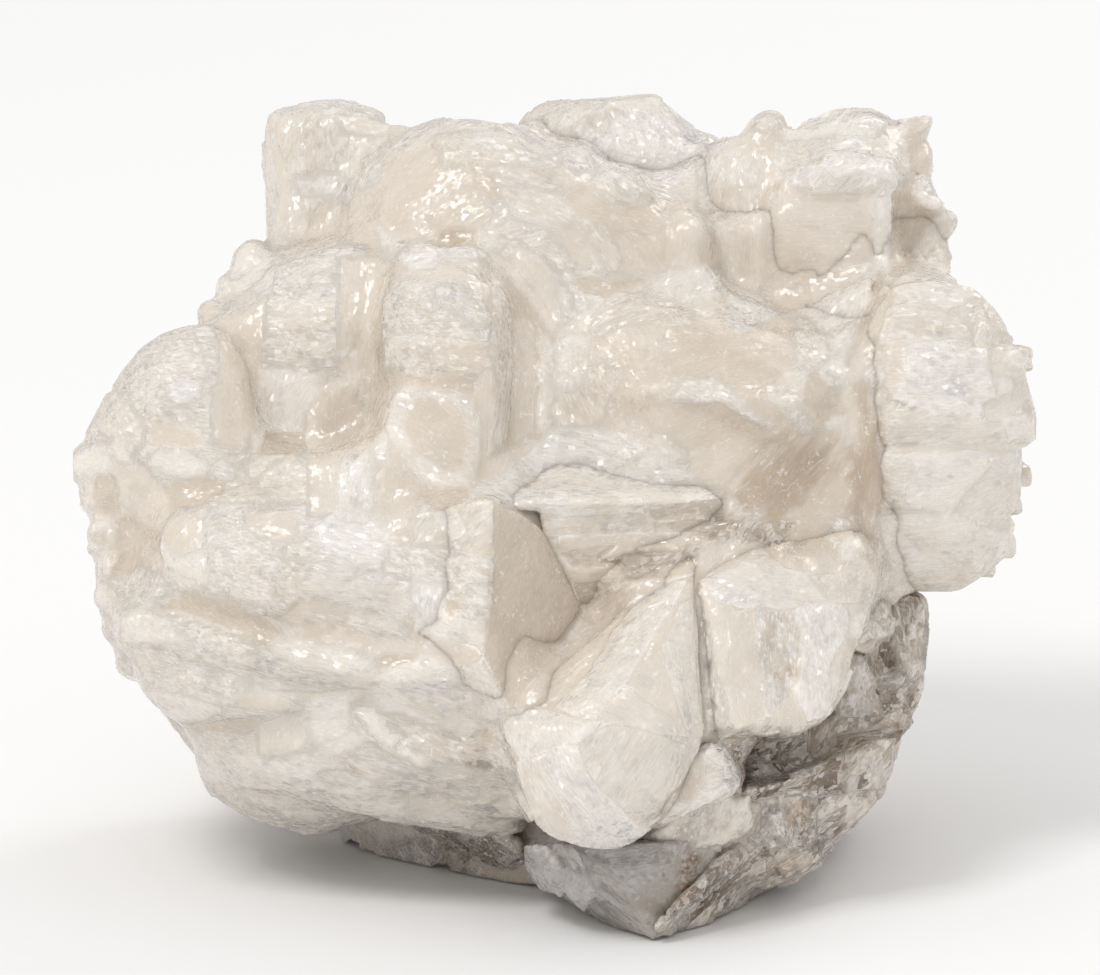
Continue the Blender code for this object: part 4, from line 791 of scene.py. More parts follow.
MIDDLE_FACES = [
    ("stepped", 0, 30, 0,60, 0,76, 8,82, 20,85.6, 32,80, 36,74, 36,66, 22,66, 10,62),
    ("pale", 0.6, 75, 0,74.2, 2,75.6, 4.6,75.8, 4.8,71, 3.2,67.4, 1.2,66.8, 0,69),
    ("silky", 0.5, 20, 4.4,75.6, 6.4,79.8, 8.4,82, 13,81.8, 14.2,79.6, 19,79.4, 20.4,76.8, 14,77.4, 10,76.8, 6,74.4),
    ("pale", 0.9, 40, 12.8,82, 15.4,84.6, 20,85.2, 22,85.6, 23.6,83.8, 25,81.8, 22.4,80, 20,80.8, 19,79.2, 16,80.4,
     14,80.6),
    ("smooth", -0.5, 20, 14.6,73.4, 16,77, 20.2,77, 23.6,76, 24.9,74, 24,71.8, 22,70.2, 19,69.8, 16,70.2),
    ("frosty", 0.4, 30, 24.6,76.8, 25.4,82, 28,82, 31,80.6, 32.4,78.6, 30,77.2, 27,75.8),
    ("smooth", 0.2, 20, 24.8,74.4, 27,76, 30,77.4, 32.4,78.6, 34.8,78, 35,74, 34,70.8, 31.6,69.2, 28,67.2, 25,68.2,
     24,71.4),
    ("silky", 0.5, 62, 34.6,78.2, 36.6,77.8, 38.8,75.2, 39.8,73, 38,71, 36,70, 34.2,71.6, 34,74.6),
    ("pale", 0.8, 62, 36.6,76.6, 38.4,75, 39.2,73, 37.8,71.6, 36.4,72.4, 36.8,74.4),
    ("pale", 0.3, 30, 30.8,66.6, 33,68.8, 34.6,70.2, 36.4,69.8, 35.6,67, 35,65.4, 33,65, 31.4,65.8),
    ("deep", -0.3, 30, 36.4,70, 38.8,69.2, 41,66.6, 40.4,65.2, 36,65.2, 35.6,67.4),
    ("silky", 0.2, -60, 0,67, 3,67.2, 5,71, 9,72.4, 10,69.8, 8,66, 6,62, 1,61.2, -0.4,64),
    ("stepped", 0.6, -40, 5.8,74.6, 10,76.8, 15,77.8, 15.2,74, 12,71.8, 14.8,69.8, 12,68.4, 9,70.4, 5.4,72.4),
    ("smooth", 0, 28, 9.6,67.8, 14,68.4, 17,66.2, 24,65.8, 27,64.2, 31,62.8, 34,64.4, 33.4,62, 28,57, 23.4,53.2,
     20,55, 15,58.6, 11,61.4),
    ("silky", 0.3, -32, 10,64.6, 14.8,62.6, 18.6,60, 19.4,57, 16,58.2, 11,61),
    ("frosty", 0.8, -20, 16.4,66, 18.6,69, 22,69.4, 25,67.8, 27,65.8, 30,64, 31.8,63.4, 31,62.4, 27,64.2, 24,65.8,
     19,66),
    ("glint", 0.5, 30, 33.2,65.2, 35.6,64.6, 37.4,63, 36.4,60.8, 34.6,61.6, 33.4,63.2),
    ("smooth", -0.35, 48, 23.4,53.2, 28,57, 33.6,62.6, 34.8,61.4, 29.6,56, 25.4,52.4),
    ("deep", 0.15, 48, 25.4,52.6, 29.6,56, 35,61.8, 40.6,62, 41.6,60.4, 36,55.6, 31.6,52.2, 29,49.2, 27.4,50),
    ("deep", -0.2, 48, 29.2,49, 36,55.6, 41.6,60.4, 43.4,58, 44,54, 43.8,50.8, 40,49.4, 33,48.2),
    ("brown", 0, 60, 24.4,46.8, 28,49, 34.9,49, 33.4,46.4, 31.8,43.8, 30,45, 27,45.6),
    ("deep", 0.5, 50, 35,49.2, 41,49.8, 39.6,47, 37,44.6, 36,42, 32.4,43.4, 33.4,46.4),
    ("grey", 0.2, -40, 38,46.4, 40.6,49.8, 43,50.4, 44.4,47, 42,44.8, 40.4,41, 37,41, 36.4,43.6),
    # the rough top and the thin plates of the wedge
    ("frosty", 0.4, -8, -12,53.2, -8,55, -6,57, -2.6,60, 0,62.4, 4,62.4, 7,62, 11,61.2, 12.6,59.6, 16,58.2, 19.6,56,
     22.2,53, 24,51.8, 19,51.4, 10,51, 0,49.8, -8,51),
    ("crusty", 0.1, 0, -6,56.6, -2,55, 2,56.4, 6,54.8, 10,56, 9.6,53.4, 2,53, -5,53.6),
    ("pale", 0.6, 10, 10.6,57.6, 13.4,58.8, 15.6,57.8, 14,56.2, 11.6,56),
    ("pale", 0.5, 4, 1.8,52.6, 10,53.4, 19,54.4, 23,52.8, 19,51.6, 10,51, 2.4,50.8),
    ("pale", 0.4, 5, -1.6,51, 12.4,52.2, 12.6,50.4, -1.6,49.2),
    ("window", -0.7, 5, 13.4,50.2, 19,51.4, 24.6,52.4, 26,51.4, 25.4,48.6, 20,49.4, 14,48.8),
    ("pale", 0.3, 40, 24.6,52, 26.4,51.2, 28.2,49.3, 27.4,48.2, 25.4,48.2, 24.6,50),
    ("silky", 0.1, 5, -1.8,49, 12.6,50.2, 14,48.8, 14.2,47.4, -1.8,46.6),
    ("window", -0.7, 6, 14.2,48.4, 19.8,49.2, 25.2,48.4, 23.4,47, 19,46.2, 14.6,46.8),
    ("smooth", 0.3, 6, 0.4,46.6, 14.2,47.4, 19.4,47.2, 22.6,46.6, 22.4,45.2, 19,45, 8.8,43.8, 6,43.4, 0.8,44.4),
    ("window", -0.5, 6, 0.8,44.4, 6,45.2, 9,45.4, 6.4,43.2, 8,42, 2.4,42.2),
    ("brown", -0.8, 7, 6.2,43.2, 13,44.6, 19.6,45, 16.4,43, 12.4,40.4, 9.2,40.6, 9,42),
    ("smooth", 0.1, 6, 2.4,42, 9.4,42.6, 9.6,40.8, 2.6,40.2),
    ("window", -0.5, 8, 2.6,40, 9.6,40.4, 12.4,40.4, 8.6,38.4, 4.6,35.8, 3.6,37),
]

COLUMN_FACES = [
    # the block left of the middle
    ("smooth", 0, 80, -24,82.6, -21.6,87, -10,88, -6.4,86, -1,79, 1.2,74, 1,62, -5,56, -12,52.6, -24,54),
    ("smooth", 0.3, -4, -22.4,85, -10,86.2, -9.2,80.4, -14,82, -22.4,82.6),
    ("fibrous", 0.8, -6, -24.4,82, -22,83, -16,83.4, -11,81.6, -9.4,79, -9.2,71, -12,69.6, -16,70, -21,69.8, -24.4,71,
     -24.8,77),
    ("fibrous", 1.3, -24, -17,82.6, -14,82.4, -9.6,78.8, -9.2,76.4, -12.4,77.8, -16.4,79.8),
    ("silky", 1.2, -8, -23.6,75.4, -16,75.4, -9.6,74.4, -9.8,71.2, -16,71.4, -23.8,72.2),
    ("deep", -0.3, 0, -24.6,70.4, -20,69.6, -15,69.8, -10.6,69, -12,67.4, -16,68, -21.6,68.6, -24.4,68),
    ("pale", 0.9, -30, -24.2,62, -23.8,66, -21.5,68.4, -16,67.6, -12,67, -10.6,62, -10.6,57, -12,54, -14,53.2,
     -16,53.2, -19.4,54.8, -23,59.4),
    ("smooth", 1.2, -30, -21.8,62.4, -20.4,66, -16.4,66.4, -13.4,65, -12.4,60, -13,56.4, -16,56, -20,58.6),
    ("deep", 0.1, 86, -9.4,80, -7,84, -4.4,81, -2,78, 0.6,74, 1,66, 0.4,61, -4.6,60, -9.6,58),
    ("silky", 0.8, 84, -9.2,78, -7.6,82.6, -6.4,79, -6.2,70, -7,61, -9.6,58, -9.8,68),
    ("smooth", 0.7, 86, -6,77.6, -4.6,78.2, -3.2,75, -2.8,68, -3.6,62, -5.6,60.4, -5.8,69),
    ("silky", 0.4, 86, -2.6,74, -1.2,76, 0.2,73.4, 0.2,66, -0.6,61.8, -2.8,61.8, -2.2,68),
    ("frosty", 0.2, 10, -22.4,86.2, -21.2,88.4, -19.5,89.3, -17.4,89.2, -16.3,88, -16.8,85, -20.5,84.8),
    ("frosty", 0.2, 5, -16.4,88.4, -14.5,89.2, -10.4,88.2, -9.6,86.6, -16.2,86.8),
    ("frosty", 0.6, 5, -24.4,86.4, -22,87.4, -20.8,86.6, -22.4,85.8),
    # the fibrous column
    ("fibrous", 0.5, -4, -42.4,72, -42,84, -38.4,87, -33,89, -27,88.6, -30,84, -31,78, -31.4,71, -38,70.4),
    ("fibrous", 1, -6, -36.6,84, -36,86.8, -33.4,88.4, -27.4,87.6, -27,85.6, -30.6,84.6),
    ("silky", 0.9, -4, -41,79.4, -31.6,80.6, -31.4,76.4, -40.4,75.6),
    ("smooth", 0.6, 84, -30.8,86.4, -26,87, -23,86, -22,84.4, -22.4,82.8, -24.6,81, -24.8,78.4, -27,75, -28,71,
     -28.6,66, -30.8,70, -31.2,78),
    ("fibrous", 0.9, -3, -39.6,74, -33,74.2, -32,72.6, -38.6,71.8),
    ("pale", 0.5, 60, -43.6,69.4, -41.5,71, -38,70.6, -34.4,69.8, -34,67.4, -36,64.2, -36.2,61.4, -41.4,61.4,
     -42.8,58, -44,62),
    ("deep", -0.7, 0, -41.5,61.6, -42.6,58.2, -40,57.4, -38,58.6, -36,59.6, -36,61.8),
    ("smooth", 0.5, 84, -36,58, -35.8,64, -33.6,68, -32,70, -29,66.4, -26.2,64, -26,57, -30,56),
    ("deep", -0.2, 84, -26.6,73, -24.6,76, -24.4,68, -25,62, -26.6,60, -26.6,66, -28,70),
    ("silky", 0.6, 10, -43.6,58, -41.6,58.8, -38.4,58.4, -37.4,56.6, -38.6,54.6, -43,54.4, -44.4,56),
    # pale knobs and the shoulder
    ("pale", 0, 40, -47.6,84, -46.6,88, -44,90.4, -41.4,89, -40,85.4, -41,82, -46,80.6),
    ("smooth", 0.2, 70, -52.4,77.6, -51.6,79.8, -48,80.6, -44,82, -41.6,81.4, -42.4,72, -43.4,66, -46,66, -45,73,
     -48,76),
    # the dome
    ("fibrous", 0.2, -10, -51.8,78.6, -55,78.6, -60,76, -64.6,70, -68,64, -69.6,60, -66,58, -62,55, -56,54, -48,56,
     -43.6,58, -44.2,61, -43.6,66, -44.6,72, -47.5,76),
    ("smooth", 0.7, 82, -48.6,75.6, -47,75.6, -44.6,71, -43.8,66, -43.6,62, -45.4,58.4, -49,60.4, -49.4,66, -48,71),
    ("fibrous", 1, -8, -62.4,71, -59.4,73.8, -56.6,75.4, -52,74.8, -50,71, -50.8,66.6, -55,65.4, -60.6,66, -63.6,68),
    ("smooth", 0.2, -10, -58.4,63.2, -55,63.4, -51,61.6, -49.8,59.8, -53,59.2, -57.8,59.8),
    ("silky", 0.9, -30, -66,66, -63,67.4, -59.4,63.4, -58.6,59.6, -61.4,58.6, -65,61.4, -67,63.4),
    ("pale", 0.6, -14, -57,59.4, -52.6,58.8, -49.6,57.6, -50,55.4, -55,55.6, -58.6,57),
    ("frosty", 0.6, -20, -49.4,56, -48.3,58, -45.6,56.6, -46,55, -48.6,54.8),
]

SLAB_FACES = [
    ("smooth", 0, 70, -70,60, -70,36, -64,30, -58,34, -56,44, -55,52, -58,56, -64,60),
    ("pale", 0.3, 20, -70.4,60, -70.4,58, -69.4,56.2, -68.2,54.8, -64.8,55.6, -63.8,57.2, -65.5,59.6),
    ("pale", 0.7, -30, -64.8,59, -62.6,57.4, -60.8,56.8, -61.2,59.4, -63,60.6),
    ("deep", -0.5, 0, -66.4,55.2, -63.4,55.6, -62.6,53, -63,49.6, -65,49.8, -66.6,52),
    ("smooth", 0.8, 60, -62.6,54.8, -59.5,55.3, -56.5,52.8, -55,50, -57,48.2, -61,49.8, -63,51.8),
    ("deep", 0.2, 60, -63.8,49.6, -61,49.6, -57.8,48, -55.8,47.4, -56.2,44.8, -60,45, -63.2,44.8),
    ("pale", 0.5, 20, -68.2,47.6, -66,48.9, -64,48.6, -63.2,46.4, -64.6,44.9, -68,45),
    ("deep", -0.3, 0, -66.6,47.2, -65,47.6, -64.4,46.2, -65.4,45.4, -66.8,45.8),
    ("silky", 0.3, 50, -67.4,44.4, -64.6,44.8, -63.2,43.8, -64,41, -64.8,39.8, -67,41),
    ("deep", -0.4, 60, -63.4,44.2, -62,45, -60,44.8, -59,43, -60.6,41.4, -62.8,41.4, -64.2,40.4),
    ("pale", 0.4, 40, -68.2,39.8, -65.4,40.2, -64,38, -61.8,36.2, -64.8,35.8, -67.6,36.4),
    ("deep", -0.3, 20, -66.4,35.2, -63,35, -62.4,33, -64,31.4, -66.2,32),
    ("fibrous", 0.3, -20, -64.4,40.4, -61,41.6, -59,42.8, -57,41.4, -52,38.4, -56,36.4, -61,36.8),
    ("glint", 0.3, 10, -59,38.4, -56.4,39.4, -53,38.6, -53.6,37.2, -57,37),
    # the upper slab
    ("fibrous", 0.6, -12, -56.4,44.4, -56,47, -55.4,49, -53.6,50.6, -50,51.4, -45,52.4, -40,52.4, -36,51.4, -31,50,
     -26,48.4, -22,44, -20,40, -20.4,35.6, -22,34.8, -30,36.8, -34,37.8, -37,37, -39.5,34.8, -42.6,35.4, -46,37.4,
     -52,40, -55.4,42.4),
    ("pale", 0.9, -14, -56.6,45, -55,49, -50,50.6, -49.8,45, -49.6,40, -52.6,40.8, -55.6,42.6),
    ("smooth", 1.2, 60, -55.4,48.4, -52.5,50.2, -50,49.2, -50.4,45, -53.8,43.8, -55.6,45),
    ("fibrous", 1.1, -13, -49.6,49.4, -44,50, -40,46, -38.8,41, -41,36, -46,38, -49.4,40.4),
    ("smooth", 0.8, -10, -44,49.8, -38,50.2, -36.6,47.4, -38.4,45.6, -42.4,46.4, -44.4,47.8),
    ("fibrous", 1, -16, -38,45.2, -34,47, -28,43.8, -23,42.4, -23,41, -28,41.4, -34,43, -38.4,43.6),
    ("silky", 0.5, -10, -37,41, -30,40.4, -22,39.6, -20.4,38.2, -20.6,36, -27,37, -32,38, -36.4,38.6),
    ("frosty", 1.2, -14, -34.6,47.8, -31,50.2, -27,50, -24,46.8, -22,45, -23,42.8, -27,42.6, -29,43.2, -33,45),
    ("frosty", 0.9, 0, -24.4,41.6, -22.4,41.6, -22.4,40, -24.2,40),
    ("silky", 0.4, -8, -50,52, -45,54.4, -38,55, -35.4,52.6, -36,51.2, -45,51.4),
    # the right end of the upper slab
    ("silky", 0.6, 40, -20,47.4, -17.6,49.8, -15,50.8, -13,53.2, -10,53.8, -8.4,51, -8.6,46, -12,44.8, -17,44.8,
     -20.4,45.6),
    ("pale", 0.9, 20, -17,50.2, -14,50.6, -12.4,47.4, -14,46.2, -16.8,47.6),
    ("fibrous", 0.7, -24, -24,46, -20,45.4, -12,44.6, -8.8,44, -8.8,40.6, -15,40.2, -20,40, -24,41),
    ("frosty", 1.3, 80, -20.4,39.8, -16,40, -15.2,38, -15.8,36, -15.2,35.2, -17,34.6, -19,35.6, -20.4,38),
    ("fibrous", 0.8, -15, -15,39.8, -8.8,40.6, -9.2,36, -9.9,33.8, -14,34.8, -15.4,36.6),
    ("deep", 0.2, -15, -15.6,38, -13.6,37.6, -12.4,36.2, -15.2,36),
    ("pale", 0.9, -12, -20,35, -13,35.2, -10.2,34.8, -10,31.2, -14,31.4, -20,33),
    ("smooth", 1, -10, -18.4,31.8, -16,32.4, -11,30.8, -10,29.4, -11.4,28.3, -14,28.4, -17,29.4, -18.6,30.6),
    ("deep", -0.6, 0, -25.4,30, -24,30.2, -19.6,29.6, -19.6,28.4, -22.5,27.6, -25.4,28.6),
    # the beige ledge between the slabs
    ("deep", -0.2, -16, -56.4,36.6, -50,35, -46,33, -41.4,31, -39.4,33, -42,35, -46,37, -52,38.8, -55,37.8),
    ("smooth", 0, -15, -39.6,35, -36,37.4, -30,36.6, -22,34.6, -20,33, -19,30, -24.6,30.4, -30,31.2, -36,33.2),
    ("fibrous", 0.4, -15, -36,36, -28,34.8, -21,33.6, -20,31.6, -28,33.2, -36,34.6),
    # the middle slab
    ("fibrous", 0.9, -17, -63.8,31.4, -64.2,34, -62.4,36, -59,36.8, -56.6,35.6, -52,34.8, -47.6,33.2, -44,31.6,
     -41.2,30.8, -38.6,32.4, -36.6,32.8, -31.4,31.4, -25.4,29.8, -25,28.4, -27,26.4, -25.4,25.2, -30,25, -36,24.2,
     -41,25, -48,27, -56,28, -61,28.8),
    ("pale", 1.3, -22, -62,32, -61.8,35, -59,36.4, -55.6,34.6, -50.4,31.8, -52,30.6, -58,31),
    ("fibrous", 1.4, -17, -55,33.8, -50,33.4, -44,30.8, -38,30.2, -38,28.6, -45,29.4, -52,31.4),
    ("pale", 1.3, -12, -40,31.6, -36.6,32.4, -30,30.6, -26,28.4, -28,26.6, -36,28.4, -40.4,30),
    ("silky", 0.5, -14, -30,27.2, -25.6,28, -25,26, -28,25.8),
    ("fibrous", 0.6, -16, -62.4,29.4, -56,29.4, -48,28, -41,26, -35.6,24.6, -32,25.4, -41,28.4, -47,30, -55,31.4,
     -61,31.4),
    # the lower slab
    ("fibrous", 0.7, -15, -63.2,28.8, -58,28.8, -52,27.8, -46,26, -41,24, -36,22.6, -36.2,21.8, -40,21.2, -44,20.8,
     -50,20.2, -54.6,19.4, -57.6,20.6, -61,25),
    ("pale", 1.1, -22, -60,24.6, -54,24.4, -47,21.8, -50,20.6, -55,20.4, -58.4,22),
    ("smooth", 0.4, -14, -46,24.6, -40.6,24.2, -37,22.8, -40,21.8, -45,22.4),
    ("deep", -0.8, 0, -55.2,19.6, -44,20.4, -41.6,19.8, -44.4,18.2, -48,18.4, -54.2,18.2),
    # the foot
    ("silky", 0, -6, -54.6,17.8, -49,18.6, -44,18, -41.4,19.8, -36.4,21, -34,16, -28,13, -20,8, -24,5, -34,1, -46,3,
     -54,8),
    ("pale", 0.5, -6, -53,14.4, -48,16, -42,14.8, -36,13.4, -31,10.6, -35,9.6, -44,10.4, -51,11.6),
    ("stepped", 0.7, 84, -42.4,15.6, -43,19.6, -39.4,20.8, -36.4,21.8, -35.4,19, -36,16.2, -39,15),
    ("grey", -0.3, 80, -35.6,15, -34,17, -35,16.8, -35.8,15.8),
    ("grey", -0.7, -30, -34.2,12.6, -31,13.4, -27.8,12.2, -30,10.2, -32.6,10.4, -34.2,11.6),
    ("silky", 0.5, -4, -38,8.6, -30,9.8, -24,8.6, -20,7, -25,6, -34,5, -40,6.6),
    ("pale", 0.8, 20, -36.8,20.8, -35,23.2, -33.6,23.8, -30,24, -29,22.4, -28.4,20.6, -30,18.2, -33.6,17.4, -35.2,19),
    ("grey", -0.3, 40, -29.6,23, -27.4,24.2, -27,22.6, -29.2,21.2),
    # the bright mound
    ("pale", 0.5, -10, -27,24.2, -25,26.2, -22,28.2, -18.7,29.5, -14.6,28.6, -13,28.2, -11,29, -9.4,28.6, -7.4,25,
     -6.2,22.8, -8,20.4, -10,19.2, -14,18.4, -18,19.6, -22,21.4, -24.6,22.4),
    ("silky", 0.9, -12, -22,26.6, -17,27.6, -13.6,26.6, -13,23, -16,20.6, -21,22.4),
    ("pale", 1, -55, -13.2,28.2, -10.6,29, -6.8,23, -8.4,20, -11,21, -11.8,25),
    # the grey bands below
    ("grey", 0.4, -25, -29,22.4, -27,22.4, -22,21.4, -16,19.4, -11,17.6, -8,15.4, -5.6,13, -8,12, -14,13.4, -20,14.8,
     -25,16.2, -29.4,19.2),
    ("pale", 0.8, -30, -28.8,21.8, -26.6,21.8, -22,17.6, -17,13.6, -19,13.4, -24.6,17.4),
    ("brown", -0.4, -24, -13.6,16.2, -11,15.6, -8.2,13.6, -10,12.8, -13.4,14),
    ("grey", -0.3, -24, -22.6,17.4, -18.6,17.2, -17.2,16, -20,15.2, -22.8,16.4),
    ("grey", 0, -14, -32,14.8, -27,17.2, -22,14.6, -14,12.8, -6,12, -4.4,10.6, -10,9.4, -16,9.8, -20,9.2, -24,10.4,
     -28,12.4),
    ("silky", 0.3, -6, -31.4,10.2, -24,9, -21,7.4, -22,5.8, -30,7),
    ("smooth", -0.3, 20, -20.8,9.4, -17,9.6, -11,8.8, -16,6.6, -18.6,5.6, -20.4,6.2, -22,7.2),
    ("silky", 0.6, -12, -18.8,5.8, -16,7.2, -12,8.4, -8,9.2, -4.4,8.8, -3,5.6, 0,3.4, -1,2.2, -4.6,2.2, -9,3.4,
     -14,3.8),
    # the smooth kite, its darker beige painted shade of a face turned from the light
    ("deep", 0, 60, -8.75,53, -2.3,48.4, 0.6,45, 4.4,36.2, 0.4,31.4, -6.1,21.8, -10.3,29.6, -9.4,34, -9,39.3),
    # the pale stalk and its neighbours
    ("pale", 0.3, 84, -31.2,49, -31.2,52.5, -30.8,55, -29.6,58.2, -28,59.3, -26,58.4, -25.6,52, -27,48),
    ("smooth", 0.2, 70, -25.8,58, -22,55.8, -20.4,53, -19.6,50.5, -20.2,48, -23.6,46.8, -26,49),
    ("smooth", 0.2, 84, -35,49.6, -35.8,53, -35,59.8, -32.5,58.4, -30.4,57.6, -31.4,50),
    ("silky", 0.4, -14, -43.4,54, -40,57, -37,58.6, -35.4,56, -35.6,52, -40,51.6),
    ("deep", -0.3, -10, -20.4,53.8, -13,53.8, -12,52, -17,50),
]

PRISM_FACES = [
    ("smooth", 0, 48, -6.2,22.2, 0.6,30.4, 8.8,38.4, 20,46.2, 28,50, 26,44, 20,39, 10,25, 2,20, -4,20),
    ("deep", -0.3, 50, 3.4,35.2, 9.4,39, 13,40.2, 11.6,38, 8.6,35, 5.2,33.8),
    ("smooth", 0.35, 50, -3,24.2, 2.2,27, 6.6,31.4, 9.4,35, 5.4,33.6, 0.4,29.6),
    ("pale", 0.6, 50, 0,22.4, 4.4,26.6, 8.4,33, 11,36.2, 15.4,39.8, 19,40.4, 16.4,36, 13,31, 10,25.4, 7,23, 3,21),
    ("smooth", 0.5, 45, 12.4,40.6, 20,46.6, 24.6,48, 26.4,46.4, 23,42.6, 19.6,41, 15,39.8, 11,36.6),
    # the face turned to the right
    ("smooth", 0.3, 70, 10.2,25, 14,32, 17.6,38, 20.4,39.6, 20.6,32, 21.4,24, 21.9,17.8, 17.6,18.2, 14,22),
    ("silky", 0.6, 80, 15.2,31, 18,37, 19.6,37.6, 20,28, 20.8,20, 18.6,19, 16.8,24),
    ("stepped", 0.3, -35, 6.6,20.8, 8,23.4, 10,25, 16.8,20.6, 17.4,18.2, 13,18.8, 9,19.8),
    # the bright lobe and its window
    ("pale", 0.4, -60, -7.8,19.4, -6,22, -1,22, 3,20.6, 6.6,20.4, 4,17.6, 0,16.6, -4.8,14.6),
    ("frosty", 0.5, -50, -5.2,14.4, -4.6,10.6, -3.8,7.6, -3,5, 0.8,2.6, 5,1.6, 9,1.2, 12,3, 14.4,4.9, 12,5.2, 9,8.4,
     6.4,10.6, 4.4,13, 3.2,16.4, 0,16.8, -2,15.4),
    ("smooth", 0.8, -60, -4.4,13.8, -3.8,9, -2.4,5.6, 1.6,3.6, 4.6,4.4, 1.6,8, -0.4,12.6, -2.4,14.6),
    ("silky", -0.1, 60, 3.2,16.8, 4,17.8, 7,19.8, 9,20.2, 15.6,18.2, 19,16.8, 18,14, 16.4,10, 15,6.6, 12.4,5, 9,8.4,
     6.6,10.4, 4.6,13),
    # the broken block
    ("stepped", 0, 86, 21.6,17.6, 20.4,40, 24,43, 28,46, 34,44, 42,43, 46,48, 47,41, 43.6,36, 41.8,31, 40.6,26,
     40.4,21.6, 37,19.2, 30,18.4),
    ("pale", 0.6, 0, 20.6,40, 24.6,46, 30,44.6, 33,42, 40.4,40.8, 39,37.4, 34,36.4, 29,35.6, 26,36.4, 23,38.4),
    ("smooth", 0.8, 50, 21.6,40.6, 25.2,46.2, 28.4,44.6, 25.6,42),
    ("frosty", 1, 20, 21.8,38.6, 24,39.4, 26,37.8, 27.6,39.6, 29.6,38.2, 29.4,35.4, 27,36, 24,36.8),
    ("grey", -0.4, 84, 20.6,35, 22.2,34.8, 22.6,29.6, 23.2,27.2, 24.6,24, 25.6,19, 22,18, 21,24, 20.4,30),
    ("smooth", 0.1, 88, 24.6,35.6, 28.6,36.2, 31,36, 31.4,28, 30,20.4, 26.6,20.4, 25,28),
    ("fibrous", 0.3, 86, 28.6,36.2, 34.6,36, 34.8,30, 33.4,24, 30.6,20.4, 29.4,26),
    ("frosty", 0.9, 80, 34.6,36.2, 38,37.4, 41.6,36.6, 42,33.6, 40.6,31, 39,27.4, 39.6,24, 39,21, 36,20.4, 34.4,24,
     35.4,30),
    ("silky", 0.7, 60, 36,41, 40.6,41.2, 44,45, 46.6,48.6, 48,42, 45.6,39, 43.4,37, 39.4,37.2),
    ("grey", 0.5, -50, 43.8,38, 44.6,39, 48.4,37.2, 48.4,33.2, 46.6,34),
    ("pale", 0.5, -40, 42,34.6, 44,35.8, 46.8,33.8, 48,32.6, 44,31.4, 42,33),
    # the small fans
    ("pale", 0, 5, 14.2,5, 17.2,10, 19.2,15.4, 21.6,17.4, 24.4,16.2, 26.2,13.4, 26.4,10.8, 24.8,9.2, 20,7),
    ("frosty", 0.5, 10, 21.4,15.6, 22.4,17, 24.6,16.4, 26,13.4, 26.6,10.8, 24.6,9.4, 20.6,7.4, 17.4,6.8, 20,9,
     23.6,11, 24.2,13.6),
    ("smooth", 0.2, 80, 19,15, 20.6,15.6, 21.6,14, 21.4,11, 19.2,8.8, 17.6,9),
    ("silky", 0.2, 78, 13,4, 17,6.6, 24,9, 28,9.6, 28.4,5, 25,2.2, 20,1, 16,2),
]

